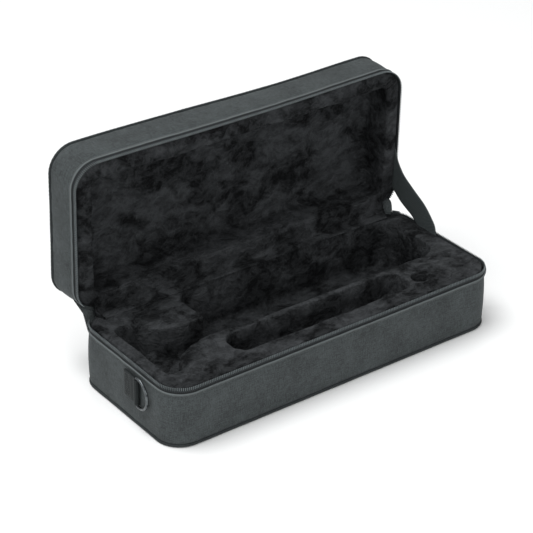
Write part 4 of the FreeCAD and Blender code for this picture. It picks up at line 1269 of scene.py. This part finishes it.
def zipperSlider():
    # the slider: two plates, a bridge and a lip between them, two ears and the pin
    def toWorld(points):
        # (along, across, out) to x, y and z at the slider
        return points[..., [2, 0, 1]] + [0, slider["y"], slider["z"]]

    half, tall = slider["length"] / 2, slider["height"] / 2
    x, thick = slider["x"], slider["plate"]
    outer = plate(shield(half, tall, tall * slider["taper"], slider["steps"]), x,
                  x + thick - slider["domeRoom"], slider["edge"], slider["dome"])
    inner = plate(shield(half, slider["innerHeight"] / 2, slider["innerHeight"] / 2, 40),
                  slider["innerX"], slider["innerX"] + slider["innerPlate"], slider["edge"])
    bridge = plate(shield(slider["bridge"] / 2, slider["bridgeThick"] / 2, slider["bridgeThick"] / 2, 24, 4.0)
                   + [half - slider["bridge"] / 2, 0], slider["innerX"] + slider["bridgeSink"],
                   x + thick * slider["bridgeReach"], slider["bridgeEdge"])
    lip = plate(shield(half * slider["lipShare"], slider["lip"] / 2, slider["lip"] / 2, 40, 5.0)
                + [slider["lipAlong"], -tall + slider["lipUp"]],
                slider["lipX"], x + slider["lipReach"], slider["lipEdge"])
    parts = [asPart(shape, toWorld) for shape in (outer, inner, bridge, lip)]
    pinX = x + thick + slider["earReach"] - 2 * slider["pinRadius"]
    ear = circleSection(1.0, 32) * [slider["earLength"] / 2, slider["earTall"]]
    for side in (-1, 1):
        middle = side * (slider["earGap"] / 2 + slider["earThick"] / 2)
        reach = slider["earThick"] / 2
        shape = plate(ear, middle - reach, middle + reach, slider["earEdge"])
        stretch = np.where(shape[..., 1] < 0, slider["earRoot"], 1.0)
        placed = np.stack([shape[..., 0], shape[..., 2], pinX + shape[..., 1] * stretch], -1)
        parts.append(asPart(placed, toWorld, flip=True))
    ends = slider["earGap"] / 2 + slider["earThick"] - slider["pinSink"]
    pin = np.stack([np.zeros(8), np.linspace(-ends, ends, 8), np.full(8, pinX)], -1)
    wire = sectionSweep(pin, circleSection(slider["pinRadius"], 20), np.array([1.0, 0, 0]))
    parts.append(asPart(closeEnds(wire), toWorld, False, True, flip=True))
    points, faces = joined(parts)
    made = addMesh("zipperSlider", points, faces, sliderMetal, weld=True)
    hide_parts("zipper_slider")
    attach(made, "slider")


def zipperPull():
    # the eye round the pin, then a flat tongue with a hole near its round end
    pinX = slider["x"] + slider["plate"] + slider["earReach"] - 2 * slider["pinRadius"]
    half = pull["neckHalf"] - pull["eyeRoom"]

    def eyeWorld(points):
        # (out, along, up) to x, y and z at the pin
        return points + [pinX, slider["y"], slider["z"]]

    within, outside, bevel, edge = pull["eyeHole"], pull["eye"], pull["eyeBevel"], pull["eyeEdge"]
    corners = [(within, -half), (outside - bevel, -half), (outside, -half + edge), (outside, half - edge),
               (outside - bevel, half), (within, half)]
    eye = np.stack([np.insert(circleSection(radius, 40), 2, level, 1) for radius, level in corners], 1)
    parts = [asPart(eye, eyeWorld, True, True)]
    steps = pull["steps"]
    turn = np.arange(steps) / steps * 2 * math.pi
    start, end = pull["eye"] - pull["overlap"], pull["length"]
    along = (start + end) / 2 + squared(np.cos(turn), pull["endPower"]) * (end - start) / 2
    neck, tipStart = pull["neckHalf"] - pull["neckIn"], pull["length"] - pull["tipLength"]
    wider = smoothStep(along, tipStart - pull["widenBefore"], tipStart + pull["widenAfter"])
    wide = neck + (pull["tipHalf"] - neck) * wider
    outline = np.stack([along, squared(np.sin(turn), pull["sidePower"]) * wide], -1)
    holeAt = np.array([pull["length"] - pull["tipLength"] / 2, 0])
    away = unit(outline - holeAt)
    hole = holeAt + away * pull["hole"]
    thick, edge = pull["thick"] / 2, pull["edge"]
    bevel = hole + away * pull["holeBevel"]
    within = outline - unit(outline - [along.mean(), 0]) * edge
    inward = thick - pull["holeEdge"]
    rings = [(bevel, -thick), (hole, -inward), (hole, inward), (bevel, thick),
             (within, thick), (outline, thick - edge), (outline, -thick + edge), (within, -thick)]
    tongue = np.stack([np.insert(points, 2, level, 1) for points, level in rings], 1)

    def tongueWorld(points):
        # (along, across, out) to x, y and z at the pin
        return points[..., [2, 0, 1]] + [pinX, slider["y"], slider["z"]]

    parts.append(asPart(tongue, tongueWorld, True, True, flip=True))
    points, faces = joined(parts)
    made = addMesh("zipperPull", points, faces, sliderMetal)
    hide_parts("zipper_pull")
    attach(made, "pull")


zipperSlider()
zipperPull()
print("zipper ends and slider ready")


# carry handle on the lid's outer panel

handle = {
    "halfSpan": 78.0, "sewn": 34.0, "rise": 26.0, "riseLength": 30.0, "width": 32.0, "thick": 2.3,
    "patchLength": 40.0, "patchWidth": 44.0, "patchThick": 1.2, "gripHalf": 44.0, "gripWidth": 37.0,
    "gripThick": 8.0, "gripRound": 88.0, "steps": 120, "stitchLength": 2.6, "stitchGap": 0.9,
    "stitchThick": 0.32, "boxIn": 3.0, "sidePower": 0.42, "facePower": 0.6, "endFrom": 0.93,
    "endThin": 0.55, "endNarrow": 0.06, "swell": 0.035, "swellRun": 5.2,
}


def handleLevel(x):
    # height of the webbing's middle on the closed case: flat where sewn, half a cosine wave up
    share = np.clip((handle["halfSpan"] - np.abs(x)) / handle["riseLength"], 0, 1)
    ease = (1 - np.cos(math.pi * share)) / 2
    return case["closedTop"] + handle["patchThick"] + handle["thick"] / 2 + handle["rise"] * ease


def closedToOpen(points):
    # points given on the closed case, swung open with the lid
    turned = points.copy()
    turned[..., 2] = case["closedTop"] - points[..., 2]
    return toLid(turned)


def handleTube(name, x, level, section, columnRun, material):
    # a section carried along the closed lid at given levels, then swung open with the lid
    line = np.stack([x, np.zeros_like(x), level], -1)
    band = closeEnds(sectionSweep(line, section, np.array([0, 0, 1.0])))
    return addGrid(name, closedToOpen(band), material, endsTwice(runsOf(line)), columnRun,
                   closeColumns=True, weld=True)


def handlePieces():
    # the handle: an arched band, a grip round its middle and a stitched patch at each end
    reach = handle["halfSpan"] + handle["sewn"]
    x = np.linspace(-reach, reach, handle["steps"])
    section = bandSection(handle["width"], handle["thick"], flatSteps=14)
    webbing = handleTube("handleWebbing", x, handleLevel(x), section, runsOf(section, True), webbingCloth)
    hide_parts("handle_webbing")
    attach(webbing, "lid")
    # the grip's section is a squared circle, drawn in at both ends
    x = np.linspace(-handle["gripHalf"], handle["gripHalf"], 60)
    turn = np.arange(40) / 40 * 2 * math.pi
    across = squared(np.cos(turn), handle["sidePower"])
    out = squared(np.sin(turn), handle["facePower"])
    share = np.abs(x) / handle["gripHalf"]
    swelling = 1 + handle["swell"] * np.sin(x / handle["swellRun"]) * (1 - share)
    full = (1 - handle["endThin"] * smoothStep(share, handle["endFrom"], 1.0)) * swelling
    narrow = 1 - handle["endNarrow"] * smoothStep(share, 0.95, 1)
    section = np.stack([across * handle["gripWidth"] / 2 * narrow[:, None],
                        out * (handle["gripThick"] / 2 * full)[:, None]], -1)
    grip = handleTube("handleGrip", x, handleLevel(x), section, np.arange(41) / 40 * handle["gripRound"],
                      gripCloth)
    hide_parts("handle_grip")
    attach(grip, "lid")
    for side, name in ((-1, "left"), (1, "right")):
        centre = side * (handle["halfSpan"] + handle["sewn"] / 2)
        half = handle["patchLength"] / 2
        x = np.linspace(centre - half, centre + half, 12)
        level = np.full_like(x, case["closedTop"] + handle["patchThick"] / 2)
        section = bandSection(handle["patchWidth"], handle["patchThick"])
        patch = handleTube(name + "HandlePatch", x, level, section, runsOf(section, True), webbingCloth)
        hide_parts("handle_patch_" + name)
        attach(patch, "lid")
        top = case["closedTop"] + handle["patchThick"] + handle["thick"]
        near = side * (handle["halfSpan"] + 2 * handle["boxIn"])
        far = side * (handle["halfSpan"] + handle["sewn"] - handle["boxIn"])
        wide = handle["width"] / 2 - handle["boxIn"]
        stitches = boxedCross(name + "HandleStitches", near, far, -wide, wide, handle,
                              lambda flat: closedToOpen(np.insert(flat, 2, top, 1)), [0, 1, 0], clothThread)
        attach(stitches, "lid")


handlePieces()
print("handle ready")


# floor, light and camera

studio = {
    "floorHalf": 6.0, "world": 0.52, "lamps": {
        "key": (212.0, 3.2, (-1.4, 0.8, 5.0)),
        "side": (16.5, 1.6, (-3.2, -1.0, 1.6)),
        "front": (48.0, 2.4, (-0.5, -3.8, 1.9)),
    },
}


def axesMatrix(across, upward, back, spot):
    # a matrix from where an object's own axes point and where it stands
    matrix = np.eye(4)
    matrix[:3] = np.stack([across, upward, back, spot], 1)
    return Matrix(matrix.tolist())


def studioSet():
    # a pale floor, three square lamps aimed just above its middle and an even white room
    half = studio["floorHalf"]
    corners = np.array([[-half, -half, 0], [half, -half, 0], [half, half, 0], [-half, half, 0]])
    floor = addMesh("floor", corners / metre, [[0, 1, 2, 3]], newMaterial("paleFloor", 0.3)[0])
    shader = floor.data.materials[0].node_tree.nodes["Principled BSDF"]
    shader.inputs["Base Color"].default_value = linear("#f6f7f7")
    for name, (power, size, spot) in studio["lamps"].items():
        lamp = bpy.data.lights.new(name, "AREA")
        lamp.energy, lamp.size = power, size
        made = bpy.data.objects.new(name, lamp)
        bpy.context.scene.collection.objects.link(made)
        back = unit(np.array(spot) - [0, 0, 0.1])
        side = unit(np.cross([0, 0, 1.0], back))
        made.matrix_world = axesMatrix(side, np.cross(back, side), back, spot)
    world = bpy.data.worlds.new("whiteRoom")
    world.use_nodes = True
    world.node_tree.nodes["Background"].inputs["Color"].default_value = linear("#ffffff")
    world.node_tree.nodes["Background"].inputs["Strength"].default_value = studio["world"]
    bpy.context.scene.world = world
    bpy.context.scene.view_settings.view_transform = "Standard"


view = {
    "turn": -0.638108003, "tilt": 0.517459584, "roll": 0.00455135438, "distance": 2.61597762,
    "right": -0.0337211479, "up": 0.113553162, "focal": 128.629289, "sensor": 36.0,
}


def photoCamera():
    # the photo's camera: turned, tilted and rolled, moved right and up, and set back by its distance
    turn, tilt, roll = view["turn"], view["tilt"], view["roll"]
    ahead = np.array([-math.sin(turn) * math.cos(tilt), math.cos(turn) * math.cos(tilt), -math.sin(tilt)])
    level = np.array([math.cos(turn), math.sin(turn), 0.0])
    above = np.cross(level, ahead)
    placeAt = view["right"] * level + view["up"] * above - view["distance"] * ahead
    across = math.cos(roll) * level + math.sin(roll) * above
    upward = math.cos(roll) * above - math.sin(roll) * level
    camera = bpy.data.cameras.new("photoCamera")
    camera.lens, camera.sensor_width = view["focal"], view["sensor"]
    camera.clip_start, camera.clip_end = 0.1, 60.0
    made = bpy.data.objects.new("photoCamera", camera)
    bpy.context.scene.collection.objects.link(made)
    made.matrix_world = axesMatrix(across, upward, -ahead, placeAt)
    bpy.context.scene.camera = made


studioSet()
photoCamera()
